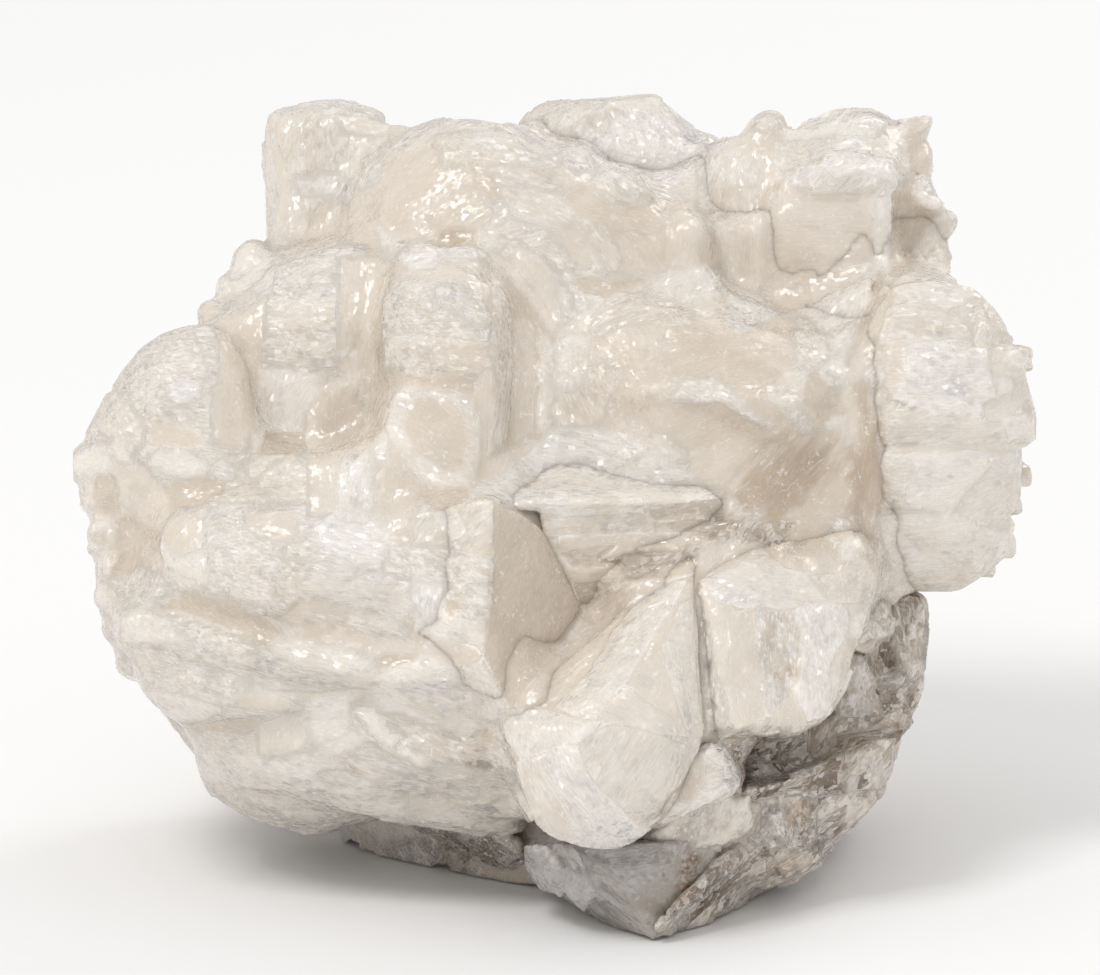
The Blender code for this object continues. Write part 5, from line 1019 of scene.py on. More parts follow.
BROWN_FACES = [
    ("brown", 0.3, 30, 24.2,17.2, 26,18.6, 29.8,18.2, 30.2,17.2, 33,17.4, 34.8,18.4, 37,19.6, 37.2,16, 36,14, 30,11.4,
     25.8,10, 25.6,14),
    ("grey", 0.3, -40, 25.6,15.6, 31.6,14, 35.2,14.4, 36.8,13.4, 31,11.4, 26,10.2, 25.2,13),
    ("window", 0.8, 60, 36.6,19.6, 38,21, 44.6,21.4, 50.4,22.8, 50.8,20, 44,18.6, 38.4,17.4, 37.4,15.4, 36.4,16),
    ("brown", 0.2, 25, 38.4,17, 44.4,18.4, 50.6,19.6, 49.4,16.6, 44,15.4, 38,14.6),
    ("deep", 0.6, 30, 37,15.2, 40,16.4, 42.4,15.6, 41.4,12.8, 38.4,13.2),
    ("window", 0.2, 60, 42,17.8, 48.8,17.4, 48.4,12, 46.4,9.4, 42.4,9.4, 41,13),
    ("brown", -0.3, 30, 35.4,12.4, 38,13.4, 42,12.6, 40.4,9.8, 36.4,9.6),
    ("smooth", 0.4, 40, 39.4,9.6, 46.8,10.4, 46.6,8.4, 43,5.4, 40.4,2.6, 37.4,4, 37.6,7.4),
    ("brown", -0.5, 20, 25.4,9.8, 31,11.2, 37,13, 36.4,11, 30,8.8, 26,8.4),
    ("deep", 0.2, 70, 26.4,8.4, 29.6,8.4, 29.4,4.6, 28,3.4, 24.6,5, 24.4,7.6),
    ("window", 0.3, -65, 31.4,9.6, 36.2,9.2, 36.8,5.4, 34.4,1.8, 33.2,3.4, 32.4,7),
    ("glint", 0.6, -60, 30.6,7, 32.2,7.2, 33.6,3.2, 33,2.4, 30.8,4.2),
    ("glint", 0.6, -20, 27.6,4.4, 29.6,3.6, 32.8,2.4, 30.4,1.6, 28,2.6),
    ("glint", 0.5, 40, 26.8,0.2, 29.2,2, 30.4,0.6, 29,-2, 27,-2.2),
    ("window", 0.4, 30, 30.8,1.4, 35,2, 38.6,0.8, 36,-2, 32,-3.6, 30.4,-2.4),
    ("deep", 0.2, 40, 30.2,-2.4, 33.8,-2.8, 36.4,-1.4, 32.6,-5, 29,-5.2),
    # the upright part under the right tower
    ("window", 0.3, 80, 40.6,33.2, 42.4,33, 43,30.8, 44,28.8, 41.6,27, 39.4,27.4),
    ("deep", 0.3, 80, 43.4,31.6, 48.4,32.8, 49.4,28, 47,26.6, 45.2,25.4, 44,28.4),
    ("glint", 0.9, 70, 42.2,28, 44.6,28.6, 46,26, 45,23.4, 46,21.6, 41,20.6, 40.8,23, 41.6,26),
    ("glint", 0.6, 20, 46.8,26.6, 50,26.6, 49.6,25, 46.6,25),
    ("brown", 0.2, 40, 46,24.6, 51.6,25, 51.2,22.4, 47.4,20.6),
    ("window", 0.5, 60, 50.4,25, 52.6,26.6, 53.6,24, 52.6,21.6, 50.4,21.6),
    ("smooth", 0.6, -78, 48,38, 49.6,38, 50.4,33, 51.6,27.6, 51.2,25.8, 49.8,27.4, 48.8,32),
    ("brown", -0.2, 84, 49.4,38.6, 53,38.8, 56.8,38, 54,36.6, 51.4,34, 50.6,32),
    # under the left slabs
    ("brown", 0, 30, -27,6.4, -22.4,6.2, -19,5, -13,4.2, -14,0, -20,-0.6, -24,1.4),
    ("window", 0.5, 60, -26.4,6.6, -21.4,6, -19.6,4.6, -23.4,2.4, -25.8,3.6),
    ("grey", 0.3, 80, -11.6,4.2, -6.6,3.2, -4.6,0.4, -7,-1.4, -10.6,-1),
    # the smoky end and its pale bar
    ("brown", 0, 40, 14,-12, 16,-8.8, 22,-5, 27,0.4, 30.4,2.6, 33,-2.6, 29,-6, 24,-9.4),
    ("grey", 0.5, 42, 13.4,-9.4, 15,-8.2, 24.4,1.4, 26.4,2.6, 28,1, 22.4,-4, 16.6,-9.4, 14.2,-11),
    ("smooth", 0.8, 40, 25.2,1.6, 26.6,2.4, 27.4,0.8, 26,0),
]

FRONT_FACES = [
    ("window", 0, -25, 1.2,2.6, 9,2.4, 16,3.2, 24.6,4, 26,1, 16.8,-8, 9,-6, 4,-1.6),
    ("frosty", 0.5, 45, -5,2.6, -1.2,3, 1.4,-0.4, 1.6,-6, -2,-5, -5,-1),
    ("frosty", 0.7, 40, 1.2,-2.4, 2.4,-1.2, 4.4,-2.2, 7.4,-4.6, 10,-7, 6.6,-6.4, 2,-5.2, 0.4,-3.4),
    ("silky", 0.3, -42, 4,-6, 7.4,-5.4, 12,-8.6, 15,-9.4, 14,-11.6, 8,-9.8, 3.4,-7),
    ("silky", 0.4, 75, 18.6,3.4, 22,3.2, 25.6,2, 22,-1.4, 18.6,-2, 17.4,1),
    ("brown", 0, 10, 3,2.4, 8.4,1.6, 15.8,2.4, 16.6,0, 10,-1, 6,-0.2),
]


# What fills the gaps

def nearest_front(crystals, places):
    """For points of the picture, the depth at which a line going away from the viewer first meets a crystal.

    The line enters a crystal at the last of its faces turned to the viewer, if that lies before the first of its
    faces turned away. A line that meets none gives FAR.
    """
    parallel = 1e-6
    away = -TOWARDS.astype(float)
    start = places @ np.array(((1.0, 0.0, 0.0), (0.0, math.sin(TILT), math.cos(TILT))))
    nearest = np.full(len(places), FAR)
    for _, points in crystals:
        directions, distances, corners = flat_faces(points)
        seen = seen_from_front(corners)
        low, high = seen.min(axis=0)[:2], seen.max(axis=0)[:2]
        near = np.flatnonzero(((places > low) & (places < high)).all(axis=1))
        along = directions @ away
        rest = distances - start[near] @ directions.T
        meets = rest / np.where(np.abs(along) < parallel, parallel, along)
        enter = np.where(along < 0.0, meets, -FAR).max(axis=1)
        leave = np.where(along >= 0.0, meets, FAR).min(axis=1)
        hit = near[enter < leave]
        nearest[hit] = np.minimum(nearest[hit], enter[enter < leave])
    return nearest


def within(depth, reach, pick):
    """The least or greatest depth within a round reach of each point of a grid."""
    result = depth.copy()
    span = int(reach)
    framed = np.pad(depth, span, mode="edge")
    for i in range(-span, span + 1):
        for j in range(-span, span + 1):
            if i * i + j * j <= reach * reach:
                part = framed[span + i:span + i + depth.shape[0], span + j:span + j + depth.shape[1]]
                result = pick(result, part)
    return result


def filling(crystals, reach, behind):
    """A thick sheet behind the front of the crystals that fills the gaps between them.

    Two parameters, across and up, run over a grid. At each point the sheet takes the greatest, within reach, of the
    least depth within reach, so gaps narrower than twice the reach are filled. It lies deeper in the HOLLOWS and
    ends inside the outline.
    """
    step, thick, inset, deepest, rounds = 0.8, 6.0, 2.4, 45.0, 4
    across, up = np.meshgrid(np.arange(*FIELD[0], step), np.arange(*FIELD[1], step), indexing="ij")
    places = np.stack([across.ravel(), up.ravel()], axis=1)
    depth = nearest_front(crystals, places).reshape(across.shape)
    depth = within(within(depth, reach / step, np.minimum), reach / step, np.maximum)
    covered = within(depth, inset / step, np.maximum) < FAR - 1.0
    depth = np.minimum(depth, deepest)
    for _ in range(rounds):
        framed = np.pad(depth, 1, mode="edge")
        depth = (framed[:-2, 1:-1] + framed[2:, 1:-1] + framed[1:-1, :-2] + framed[1:-1, 2:] + 2.0 * depth) / 6.0
    depth = depth + behind
    for middle_across, middle_up, wide, tall, deeper in HOLLOWS:
        off = np.hypot((across - middle_across) / wide, (up - middle_up) / tall)
        depth += deeper * np.clip(1.5 - off, 0.0, 1.0)
    axes = np.array(((1.0, 0.0, 0.0), (0.0, math.sin(TILT), math.cos(TILT)), -TOWARDS))
    front = np.stack([across.ravel(), up.ravel(), depth.ravel()], axis=1) @ axes
    count = len(front)
    number = np.arange(count).reshape(across.shape)
    quads = lattice_faces(number)[covered[:-1, :-1] & covered[1:, :-1] & covered[1:, 1:] & covered[:-1, 1:]]
    a, b = quads.ravel(), np.roll(quads, -1, axis=1).ravel()
    rim = ~np.isin(a * count + b, b * count + a)
    sides = np.stack([b[rim], a[rim], a[rim] + count, b[rim] + count], axis=1)
    quads = np.concatenate([quads, quads[:, ::-1] + count, sides])
    kept, quads = np.unique(quads, return_inverse=True)
    return np.concatenate([front, front - thick * TOWARDS])[kept], quads.reshape(-1, 4)


# Where the stone is whiter, warmer, smoky or stained, and where highlights, light and shade are painted on it:
# middle across and up, half width and height, turn in degrees, and strength

PATCHES = {
    # Whiter patches: the stone's white, painted glints on the columns, painted light on the clear crystal and back
    # blocks
    "snow": (
        (-30, 46, 7, 4.2, -12, 0.9), (-28.3, 55, 2.6, 4, 0, 0.6), (-18, 38, 3, 3.4, 0, 0.8),
        (-46, 44, 8, 5, -14, 0.35), (-50, 32, 10, 3, -14, 0.35), (-17, 25, 8, 3, -10, 0.5),
        (-54, 68, 4, 2.4, -8, 0.7), (-19.5, 87, 3, 1.6, 8, 0.8), (-14, 79, 4.5, 2.6, -24, 0.5),
        (-31, 73, 3, 0.8, -3, 0.8), (-10, 103.6, 3, 1.6, -20, 0.5), (9.6, 97.4, 4, 1.8, -33, 0.4),
        (8, 106, 12, 4, 0, 0.3), (41, 80, 5, 3, 30, 0.6), (55, 70, 6, 6.5, 0, 0.7), (54, 54, 5, 4, 0, 0.3),
        (6, 57, 8, 3, -12, 0.5), (7, 5.4, 6, 2.6, -16, 0.7), (0, 12, 3, 5, -30, 0.4), (38, 29, 2.6, 8, 8, 0.5),
        (3, -4.6, 3.6, 1.4, -34, 0.9), (14, 103, 14, 7, 0, 0.8), (8, 1, 12, 6, 0, 0.55), (-34, 100, 8, 10, 0, 0.35)),
    # Beige patches: the stone's own beige, and painted shade on the kite, the low middle block and the tower's left
    # side
    "warm": (
        (-30, 63, 6, 6, 0, 0.6), (-6, 66, 4, 10, 0, 0.4), (-3, 38, 6, 12, -6, 0.5), (34, 46, 8, 4, 0, 0.6),
        (52, 91, 4, 6, 0, 0.4), (12, 43, 10, 3, 10, 0.5), (31, 30, 5, 6, 0, 0.5), (-14.3, 89.6, 3, 1.4, 0, 0.8),
        (-62, 44, 3, 5, 0, 0.3), (-30, 34, 14, 2, -14, 0.4), (45, 56, 3.4, 14, 0, 1), (-3, 42, 5, 10, 0, 0.5),
        (-4, 70, 3, 9, 0, 0.3), (-4, 94, 26, 11, -20, 0.3), (12, 92, 10, 7, -20, 0.4), (20, 68, 22, 13, 10, 0.45),
        (10, 48, 12, 6, 0, 0.25), (8, 32, 12, 7, 50, 0.2), (33, 55, 11, 6, 30, 1), (-12, 70, 11, 14, 0, 0.25)),
    "smoke": (
        (30, 14.4, 7, 4.4, 10, 0.95), (40, 12, 9, 6, 20, 0.5), (47, 30, 4, 8, 0, 0.5), (36, 4, 8, 6, 0, 0.5),
        (22, -4, 7, 4, 40, 0.6), (20, 5, 5, 2, 20, 0.3), (-14, 1, 12, 3.4, 0, 0.7), (9, -3, 8, 6, 0, 0.3),
        (24, 47.6, 4, 2.4, 20, 0.5), (15, 42.6, 7, 1.4, 22, 0.4), (50, 23, 4, 5, 0, 0.4)),
    "rust": (
        (18.6, -1.6, 1.8, 4, -14, 0.9), (40, 17, 4, 1.6, 20, 0.4), (35, 7, 2.4, 1.8, 30, 0.5),
        (33.5, -0.4, 3.4, 1.6, 20, 0.5), (33, 27, 2, 1.2, 0, 0.4), (-29, 13.2, 1.8, 0.6, -30, 0.5),
        (49, 20, 2.4, 1.4, 20, 0.5), (51.4, 87.4, 1.2, 1.4, 0, 0.4)),
}


def paint(place, seen, values):
    """Adds the whiter patches with their painted highlights and light, the beige ones with their painted shade,
    and the smoky and rusty ones to what shows.

    A patch covers its strength at its middle and 0 beyond its border, which noise drawn out along the grain and
    round noise make ragged.
    """
    bulge, falloff = 1.15, 1.4
    ragged = 0.3 * swell(values["grain"] / (5.0, 0.9, 0.9), 5) + 0.3 * swell(place / 2.2, 6)
    for kind, patches in PATCHES.items():
        cover = values.get(kind, np.zeros(len(place), np.float32))
        for across, high, wide, tall, turn, strength in patches:
            c, s = math.cos(math.radians(turn)), math.sin(math.radians(turn))
            off = (seen[:, :2] - (across, high)) @ np.array(((c, -s), (s, c))) / (wide, tall)
            border = bulge - np.hypot(off[:, 0], off[:, 1]) + ragged
            cover = np.maximum(cover, strength * np.clip(border * falloff, 0.0, 1.0))
        values[kind] = cover


# From surfaces to grown meshes

def closed_mesh(name, place, quads):
    """A mesh from places in millimetres and the corners of its faces."""
    mesh = bpy.data.meshes.new(name)
    mesh.vertices.add(len(place))
    mesh.vertices.foreach_set("co", ((place - (*MIDDLE, 0.0)) * MM).astype(np.float32).ravel())
    mesh.loops.add(quads.size)
    mesh.loops.foreach_set("vertex_index", quads.astype(np.int32).ravel())
    mesh.polygons.add(len(quads))
    mesh.polygons.foreach_set("loop_start", np.arange(0, quads.size, 4, dtype=np.int32))
    mesh.update(calc_edges=True)
    return mesh


def read(items, key, wide, kind=np.float32):
    """A property of all vertices, edges or values as one array."""
    data = np.empty(len(items) * wide, kind)
    items.foreach_get(key, data)
    return data.reshape(-1, wide) if wide > 1 else data


def neighbour_mean(values, ends):
    """For each corner the mean of its neighbours' values."""
    total = np.zeros(values.shape)
    count = np.bincount(ends.ravel(), minlength=len(values))
    for a, b in ((0, 1), (1, 0)):
        for side in range(values.shape[1]):
            total[:, side] += np.bincount(ends[:, a], values[ends[:, b], side], len(values))
    return total / np.maximum(count, 1)[:, None]


def placed(name, data):
    """A new object of the scene."""
    item = bpy.data.objects.new(name, data)
    bpy.context.scene.collection.objects.link(item)
    return item


def mesh_of(name, shape):
    """A new mesh of a shape, which is used up."""
    mesh = bpy.data.meshes.new(name)
    shape.to_mesh(mesh)
    shape.free()
    return mesh


def plain_block(name, points):
    """A closed block round some corners, used only to cut others."""
    return placed(name, mesh_of(name, hull([((x - MIDDLE[0]) * MM, (y - MIDDLE[1]) * MM, z * MM)
                                            for x, y, z in points])))


def drop_crumbs(mesh, fewest=200):
    """Takes away loose crumbs: every corner takes the lowest number among its neighbours until each part of the
    mesh shares one number, and parts with few corners go."""
    ends = read(mesh.edges, "vertices", 2, np.int32)
    part, before = np.arange(len(mesh.vertices)), None
    while before is None or (part != before).any():
        before = part
        part = before.copy()
        for a, b in ((0, 1), (1, 0)):
            np.minimum.at(part, ends[:, a], before[ends[:, b]])
        part = part[part]
    few = np.flatnonzero(np.bincount(part, minlength=len(part))[part] < fewest)
    if len(few):
        shape = bmesh.new()
        shape.from_mesh(mesh)
        shape.verts.ensure_lookup_table()
        bmesh.ops.delete(shape, geom=[shape.verts[number] for number in few], context="VERTS")
        shape.to_mesh(mesh)
        shape.free()


def grown_together(name, surfaces, spacing, foot):
    """One closed mesh of even faces round surfaces that are grown together and cut flat by the block below them."""
    starts = np.cumsum([0] + [len(place) for place, _ in surfaces])
    place = np.concatenate([place for place, _ in surfaces])
    quads = np.concatenate([quads + start for (_, quads), start in zip(surfaces, starts)])
    body = placed(name, closed_mesh(name, place, quads))
    even = body.modifiers.new("grown together", "REMESH")
    even.mode, even.voxel_size = "VOXEL", spacing * MM
    trim = body.modifiers.new("cut", "BOOLEAN")
    trim.operation, trim.operand_type, trim.solver = "DIFFERENCE", "OBJECT", "MANIFOLD"
    trim.object = foot
    mesh = bpy.data.meshes.new_from_object(body.evaluated_get(bpy.context.evaluated_depsgraph_get()))
    old = body.data
    bpy.data.objects.remove(body)
    bpy.data.meshes.remove(old)
    mesh.name = name
    drop_crumbs(mesh)
    return mesh


def grow(name, surfaces, faces, material, foot, spacing, soft, blur, size, angle, lift):
    """A piece of the cluster: surfaces grown together, softened by some rounds, and the faces laid over them."""
    softening, facing_rounds, inside_box = 0.7, 3, 1e-3
    mesh = grown_together(name, surfaces, spacing, foot)
    ends = read(mesh.edges, "vertices", 2, np.int32)
    place = read(mesh.vertices, "co", 3).astype(np.float64) / MM
    for _ in range(soft):
        place += softening * (neighbour_mean(place, ends) - place)
    mesh.vertices.foreach_set("co", (place * MM).astype(np.float32).ravel())
    mesh.update()
    facing = read(mesh.vertex_normals, "vector", 3).astype(np.float64)
    for _ in range(facing_rounds):
        facing = neighbour_mean(facing, ends)
    facing /= np.maximum(np.linalg.norm(facing, axis=1, keepdims=True), 1e-6)
    own = (place + (*MIDDLE, 0.0)).astype(np.float32)
    height, values = lay_faces(name, own, facing.astype(np.float32), faces, blur, size, angle, lift)
    paint(own, seen_from_front(own), values)
    place += facing * height[:, None]
    low, high = np.array(CAD_BOX[0]) / MM + inside_box, np.array(CAD_BOX[1]) / MM - inside_box
    mesh.vertices.foreach_set("co", (np.clip(place, low, high) * MM).astype(np.float32).ravel())
    for key, value in values.items():
        layer = mesh.attributes.new(key, "FLOAT_VECTOR" if value.ndim == 2 else "FLOAT", "POINT")
        layer.data.foreach_set("vector" if value.ndim == 2 else "value", value.astype(np.float32).ravel())
    mesh.polygons.foreach_set("use_smooth", np.ones(len(mesh.polygons), bool))
    mesh.materials.clear()
    mesh.materials.append(material)
    mesh.update()
    piece = placed(name, mesh)
    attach(piece, "root")
    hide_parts("quartz_cluster")


# Materials

# Colours of the stone, among them painted shade for recesses and under raised faces, and painted highlights
CREAM, PALE_CREAM, BRIGHT_FACET = (0.78, 0.684, 0.575), (0.845, 0.768, 0.675), (0.91, 0.87, 0.83)
BEIGE_AND_SHADE, BROWN, RUST, UNDER_EDGE_SHADE = (0.50, 0.385, 0.27), (0.19, 0.13, 0.085), (0.44, 0.235, 0.11), (0.62, 0.51, 0.40)
WARM_THREAD, PALE_THREAD, DARK_THREAD = (0.71, 0.62, 0.52), (0.91, 0.87, 0.82), (0.70, 0.61, 0.515)
SNOW_AND_HIGHLIGHT, WHITE_AND_GLINT, EDGE_HIGHLIGHT = (0.955, 0.93, 0.90), (0.95, 0.93, 0.905), (0.95, 0.935, 0.92)


class Nodes:
    """A material's nodes, added and joined in short calls."""

    def __init__(self, name):
        self.material = bpy.data.materials.new(name)
        self.material.use_nodes = True
        self.tree = self.material.node_tree
        self.shader = self.tree.nodes["Principled BSDF"]

    def add(self, kind, **settings):
        node = self.tree.nodes.new("ShaderNode" + kind)
        for key, value in settings.items():
            setattr(node, key, value)
        return node

    def join(self, source, target):
        self.tree.links.new(source, target)

    def fix(self, node, **values):
        """Sets plain values on a node's own sockets; an underscore stands for a space."""
        for key, value in values.items():
            node.inputs[key.replace("_", " ")].default_value = value

    def attribute(self, name, field="Fac"):
        return self.add("Attribute", attribute_name=name).outputs[field]

    def vector(self, operation, a, b):
        """Two vectors taken together. Either may be a socket or three numbers; b may be one number's socket."""
        node = self.add("VectorMath", operation=operation)
        for socket, value in ((node.inputs[0], a), (node.inputs["Scale" if operation == "SCALE" else 1], b)):
            if isinstance(value, (tuple, float)):
                socket.default_value = value
            else:
                self.join(value, socket)
        return node.outputs[0]

    def noise(self, vector, scale, detail, roughness=0.55, field="Fac"):
        """Smooth noise: one value, or three at once with the field Color."""
        node = self.add("TexNoise")
        self.join(vector, node.inputs["Vector"])
        self.fix(node, Scale=scale, Detail=detail, Roughness=roughness)
        return node.outputs[field]

    def span(self, value, low, high, new_low=0.0, new_high=1.0):
        """A value from low to high taken to a new range, and held there."""
        node = self.add("MapRange")
        self.join(value, node.inputs["Value"])
        self.fix(node, From_Min=low, From_Max=high, To_Min=new_low, To_Max=new_high)
        return node.outputs[0]

    def math(self, operation, a, b):
        """Two values taken together, either a socket or a number, and held from 0 to 1 unless subtracted."""
        node = self.add("Math", operation=operation, use_clamp=operation != "SUBTRACT")
        for socket, value in zip(node.inputs, (a, b)):
            if isinstance(value, (int, float)):
                socket.default_value = value
            else:
                self.join(value, socket)
        return node.outputs[0]

    def times(self, a, b):
        return self.math("MULTIPLY", a, b)

    def plus(self, a, b):
        return self.math("ADD", a, b)

    def mix(self, factor, a, b):
        """Two colours blended by a factor. Either may be a socket or three numbers."""
        node = self.add("Mix", data_type="RGBA")
        self.join(factor, node.inputs[0])
        for socket, value in ((node.inputs[6], a), (node.inputs[7], b)):
            if isinstance(value, tuple):
                socket.default_value = (*value, 1.0)
            else:
                self.join(value, socket)
        return node.outputs[2]

    def cells(self, vector, scale):
        """Cells round scattered middles, each with a colour of its own."""
        node = self.add("TexVoronoi")
        self.join(vector, node.inputs["Vector"])
        self.fix(node, Scale=scale)
        return node.outputs["Color"]

    def leaning(self, normal, colour, amount):
        """A normal tipped by small flat faces: each cell leans its own way."""
        lean = self.vector("SUBTRACT", colour, (0.5, 0.5, 0.5))
        return self.vector("ADD", normal, self.vector("SCALE", lean, amount))


def milky_stone(name, glow, base, smoky=0.0):
    """Milky stone: light wanders in it, its colour follows what shows on each face, threads run along the grain,
    and elsewhere small flat faces lie at their own tone and glint. Borders of laid faces have a faint painted
    highlight on their raised side, in part their whiter broken edge, and a painted shade line on their lower side.
    White flecks and chips are painted glints, and the beige deepens as painted shade in recesses.

    glow is how far light wanders, in metres, base how much of it does, and the more smoky, the stronger the small
    faces show.
    """
    m = Nodes(name)
    place = m.add("TexCoord").outputs["Object"]
    grain = m.attribute("grain", "Vector")
    border, threads, warm, snowy = (m.attribute(key) for key in ("border", "threads", "warm", "snow"))
    long = m.vector("MULTIPLY", grain, (0.12, 1.0, 1.0))
    short = m.vector("MULTIPLY", grain, (0.6, 1.0, 1.0))
    cloud = m.span(m.noise(place, 55.0, 0.0), 0.3, 0.7)
    broad = m.noise(long, 0.7, 2.0, 0.65)
    fine = m.noise(long, 3.1, 2.0, 0.7)
    flecks = m.noise(place, 1500.0, 1.0, 0.7)
    patchy = m.span(m.noise(place, 300.0, 1.0, 0.65), 0.46, 0.6)
    bent = m.vector("ADD", short, m.vector("SCALE", m.noise(place, 350.0, 0.0, 0.5, "Color"), 0.25))
    facets, chips = m.cells(bent, 0.42), m.cells(bent, 1.7)
    facet_tone = m.span(facets, 0.2, 0.8)
    pale_thread = m.times(m.span(broad, 0.5, 0.7), m.times(threads, 0.6))
    warm_thread = m.times(m.span(broad, 0.5, 0.3), m.times(threads, 0.7))
    thin_thread = m.times(m.span(fine, 0.54, 0.66), threads)
    dark_thread = m.times(m.span(fine, 0.44, 0.34), m.times(threads, 0.5))
    smoke = m.plus(m.attribute("smoke"), smoky)
    colour = m.mix(cloud, CREAM, PALE_CREAM)
    colour = m.mix(m.times(facet_tone, 0.2), colour, BRIGHT_FACET)
    colour = m.mix(warm_thread, colour, WARM_THREAD)
    # Beige: the stone's own tone, deepened as painted shade in recesses and on faces turned from the light
    colour = m.mix(m.times(warm, 0.9), colour, BEIGE_AND_SHADE)
    colour = m.mix(pale_thread, colour, PALE_THREAD)
    tone = m.plus(m.times(facet_tone, 0.6), m.times(m.span(chips, 0.2, 0.8), 0.2))
    tone = m.plus(tone, m.times(m.span(fine, 0.36, 0.64), 0.25))
    colour = m.mix(m.times(smoke, m.span(tone, 0.3, 0.8, 1.2, 0.0)), colour, BROWN)
    # Whiter stone, partly painted glints, and painted light on the clear crystal and the back blocks
    colour = m.mix(m.times(snowy, m.span(fine, 0.42, 0.57, 0.35, 1.0)), colour, SNOW_AND_HIGHLIGHT)
    colour = m.mix(dark_thread, colour, DARK_THREAD)
    # White chips and flecks: painted glints, the chips on frosty faces also whiter stone; thin threads are white
    # fibres
    white_chip_and_glint = m.times(m.span(chips, 0.66, 0.8), m.span(m.plus(snowy, smoke), 0.0, 0.6, 0.05, 0.8))
    glint_fleck = m.times(m.span(flecks, 0.60, 0.70), m.span(patchy, 0.0, 1.0, 0.05, 0.8))
    white = m.math("MAXIMUM", m.math("MAXIMUM", thin_thread, glint_fleck), white_chip_and_glint)
    colour = m.mix(m.times(white, 0.7), colour, WHITE_AND_GLINT)
    # Painted shade: a darker line on the lower side of each laid face's border, under the raised face
    below = m.times(m.span(border, -0.45, -0.05), m.math("LESS_THAN", border, 0.0))
    colour = m.mix(m.times(below, m.span(patchy, 0.0, 1.0, 0.1, 0.45)), colour, UNDER_EDGE_SHADE)
    # Painted highlight: a bright rim on the raised side of each border, in part the whiter broken edge
    rim = m.times(m.span(border, 0.4, 0.05), m.math("GREATER_THAN", border, 0.0))
    colour = m.mix(m.times(rim, m.span(patchy, 0.0, 1.0, 0.0, 0.55)), colour, EDGE_HIGHLIGHT)
    colour = m.mix(m.times(m.attribute("rust"), m.span(flecks, 0.4, 0.62)), colour, RUST)
    m.join(colour, m.shader.inputs["Base Color"])
    m.shader.subsurface_method = "BURLEY"
    m.fix(m.shader, Subsurface_Weight=base, Subsurface_Radius=(0.86, 0.93, 1.0), Subsurface_Scale=glow, IOR=1.54,
          Coat_Weight=0.7, Coat_Roughness=0.08)
    m.join(m.span(fine, 0.3, 0.7, 0.12, 0.35), m.shader.inputs["Roughness"])
    normal = m.add("NewGeometry").outputs["Normal"]
    normal = m.leaning(normal, facets, m.span(m.math("SUBTRACT", smoke, warm), -0.7, 1.0, 0.0, 1.25))
    normal = m.leaning(normal, chips, m.span(m.plus(m.plus(threads, snowy), smoke), 0.0, 1.0, 0.2, 1.1))
    even = m.add("VectorMath", operation="NORMALIZE")
    m.join(normal, even.inputs[0])
    relief = m.add("Bump")
    m.fix(relief, Strength=0.8, Distance=0.0004)
    m.join(m.times(fine, m.span(threads, 0.0, 1.0, 0.1, 0.7)), relief.inputs["Height"])
    m.join(even.outputs[0], relief.inputs["Normal"])
    for key in ("Normal", "Coat Normal"):
        m.join(relief.outputs[0], m.shader.inputs[key])
    return m


def clear_stone(name):
    """Clear stone with thin milky veils: half of the light passes through it, and it is smooth all over."""
    m = milky_stone(name, 0.0015, 0.8)
    m.tree.links.remove(m.shader.inputs["Roughness"].links[0])
    m.fix(m.shader, Transmission_Weight=0.45, Roughness=0.1)
    return m


# The stage

def stage():
    """A plain pale floor, a soft light from the upper left and the camera 15 degrees above level."""
    scene = bpy.context.scene
    floor_shape = bmesh.new()
    bmesh.ops.create_circle(floor_shape, cap_ends=True, segments=96, radius=6.0)
    floor = placed("floor", mesh_of("floor", floor_shape))
    floor.location = (0.0, 0.0, -0.0002)
    pale = Nodes("pale_floor")
    pale.fix(pale.shader, Base_Color=(0.97, 0.965, 0.96, 1.0), Roughness=0.9, Specular_IOR_Level=0.0)
    floor.data.materials.append(pale.material)

    world = bpy.data.worlds.new("soft_white")
    world.use_nodes = True
    pale.fix(world.node_tree.nodes["Background"], Color=(1.0, 1.0, 1.0, 1.0), Strength=0.71)
    scene.world = world

    # name, place and size in metres, power in watts
    lit = Vector((0, 0, 0.05))
    for name, place, size, power in (("key", (-0.6, -0.7, 1.3), 0.45, 7.6), ("rim", (0.8, 0.9, 1.0), 0.6, 3.5)):
        light = bpy.data.lights.new(name, "AREA")
        light.shape, light.size, light.energy = "SQUARE", size, power
        item = placed(name, light)
        item.location = place
        item.rotation_euler = (lit - Vector(place)).to_track_quat("-Z", "Y").to_euler()

    # The middle of the picture as across and up in millimetres, the camera's distance in metres, the picture's
    # width in pixels and how many of them a millimetre takes
    across, up = -0.72, 53.70
    distance, wide, per_mm, sensor = 2.5, 1100, 6.9, 36.0
    camera = bpy.data.cameras.new("camera")
    eye = placed("camera", camera)
    aim = Vector((across - MIDDLE[0], -MIDDLE[1], up / math.cos(TILT))) * MM
    eye.location = aim + Vector((0.0, -math.cos(TILT), math.sin(TILT))) * distance
    eye.rotation_euler = (aim - eye.location).to_track_quat("-Z", "Y").to_euler()
    camera.sensor_width = sensor
    camera.lens = sensor * distance / (wide / per_mm * MM)
    camera.clip_end = 30.0
    scene.camera = eye
    scene.cycles.max_bounces, scene.cycles.diffuse_bounces = 6, 2
    scene.view_settings.view_transform, scene.view_settings.look = "Standard", "None"


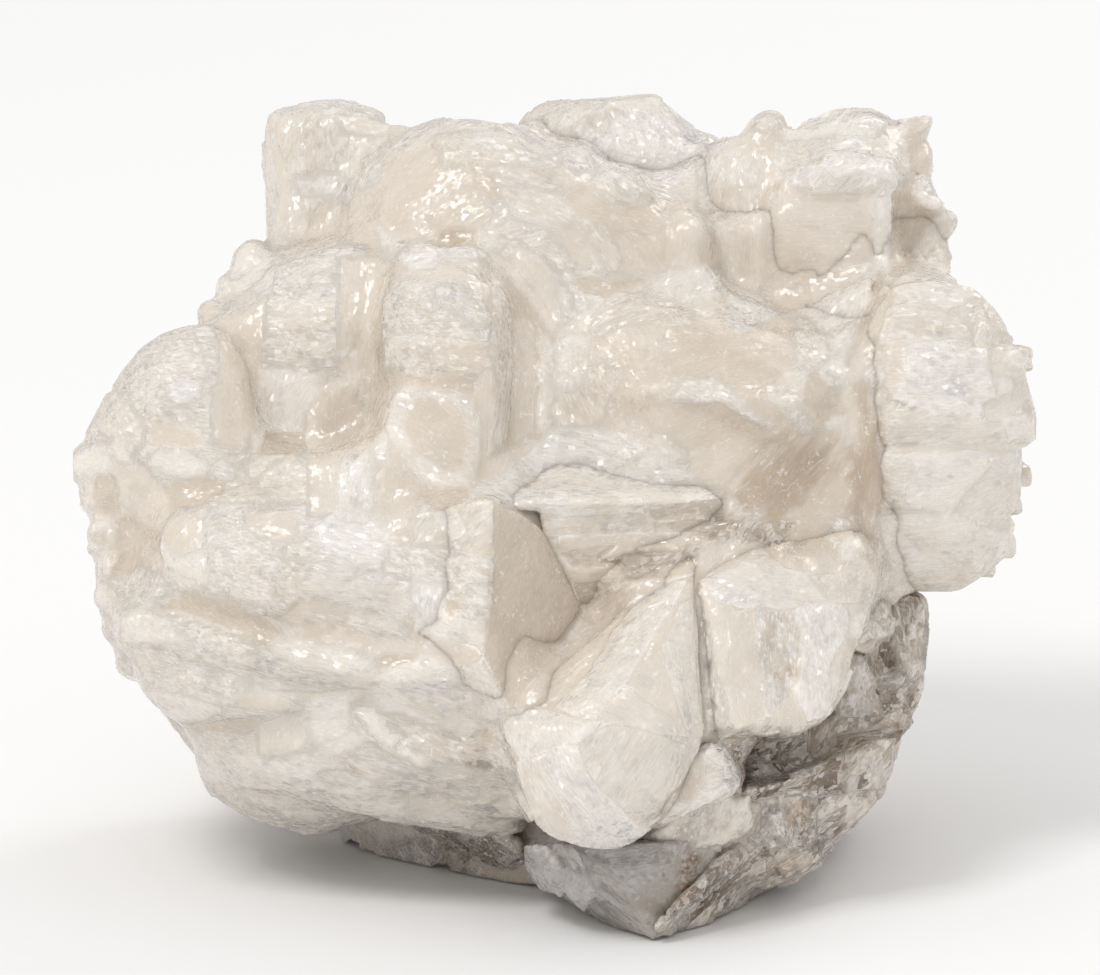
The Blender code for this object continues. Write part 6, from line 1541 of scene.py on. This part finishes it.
def main():
    """Grows the ten pieces of the cluster, then sets the stage."""
    milky = milky_stone("milky_crystal", 0.003, 0.9).material
    smoky = milky_stone("smoky_crystal", 0.001, 0.4, 0.3).material
    clear = clear_stone("clear_crystal").material
    foot = plain_block("foot", [(x, y, z) for x in (-90, 90) for y in (-90, 90) for z in (0, -40)])
    rounded = crest() + column_block() + left_side() + lower_left() + middle_block()
    keen = back_blocks() + tower_right() + wedge() + kite() + leaning_prism() + ribbed_block() + small_fans()
    rounded_faces = (BACK_FACES + CREST_FACES + TOWER_FACES + COLUMN_FACES + SLAB_FACES + MIDDLE_FACES
                     + PRISM_FACES)
    # name, crystals, faces, material, half the width of the gaps filled, spacing of the mesh, rounds of softening,
    # softness of the faces' borders, and for the scattered faces their size, way and lift
    pieces = (
        ("milky_mass", rounded, rounded_faces, milky, 8.0, 0.82, 1, 0.6, 7.0, -14, 0.7),
        ("back_blocks", back_blocks(), rounded_faces, milky, 4.0, 0.62, 1, 0.6, 7.0, 20, 0.7),
        ("tower_right", tower_right(), TOWER_FACES, milky, 4.0, 0.56, 1, 0.4, 7.0, 4, 0.6),
        ("wedge", wedge(), MIDDLE_FACES, milky, 2.0, 0.34, 1, 0.3, 5.0, 6, 0.3),
        ("kite", kite(), SLAB_FACES, milky, 0.0, 0.4, 0, 0.3, 5.0, 60, 0.3),
        ("leaning_prism", leaning_prism(), PRISM_FACES, milky, 2.0, 0.38, 1, 0.3, 5.5, 60, 0.5),
        ("ribbed_block", ribbed_block() + small_fans(), PRISM_FACES, milky, 3.0, 0.42, 1, 0.4, 4.0, 86, 0.6),
        ("brown_foot", brown_foot() + smoky_tip(), BROWN_FACES, smoky, 3.0, 0.5, 0, 0.4, 4.0, 30, 0.9),
        ("clear_front", clear_front(), FRONT_FACES, clear, 2.0, 0.42, 0, 0.3, 5.0, -30, 0.3),
        ("far_side", far_side() + [("keen", HEART)], [], milky, 0.0, 0.95, 0, 1.0, 11.0, 60, 1.6),
    )
    # The small faces of a crystal are wider than the mesh's spacing. The fillings lie behind the crystals, and the
    # one that reaches under the neighbours lies deeper
    coarser, behind, behind_neighbours = 2.2, 0.4, 1.6
    for name, crystals, faces, material, reach, spacing, *rest in pieces:
        surfaces = [crystal(points, *EDGES[edge], coarser * spacing) for edge, points in crystals]
        if reach:
            surfaces.append(filling(crystals, reach, behind))
        if crystals is rounded:
            surfaces.append(filling(crystals + keen, reach, behind_neighbours))
        grow(name, surfaces, faces, material, foot, spacing, *rest)
    bpy.data.objects.remove(foot)
    stage()


main()
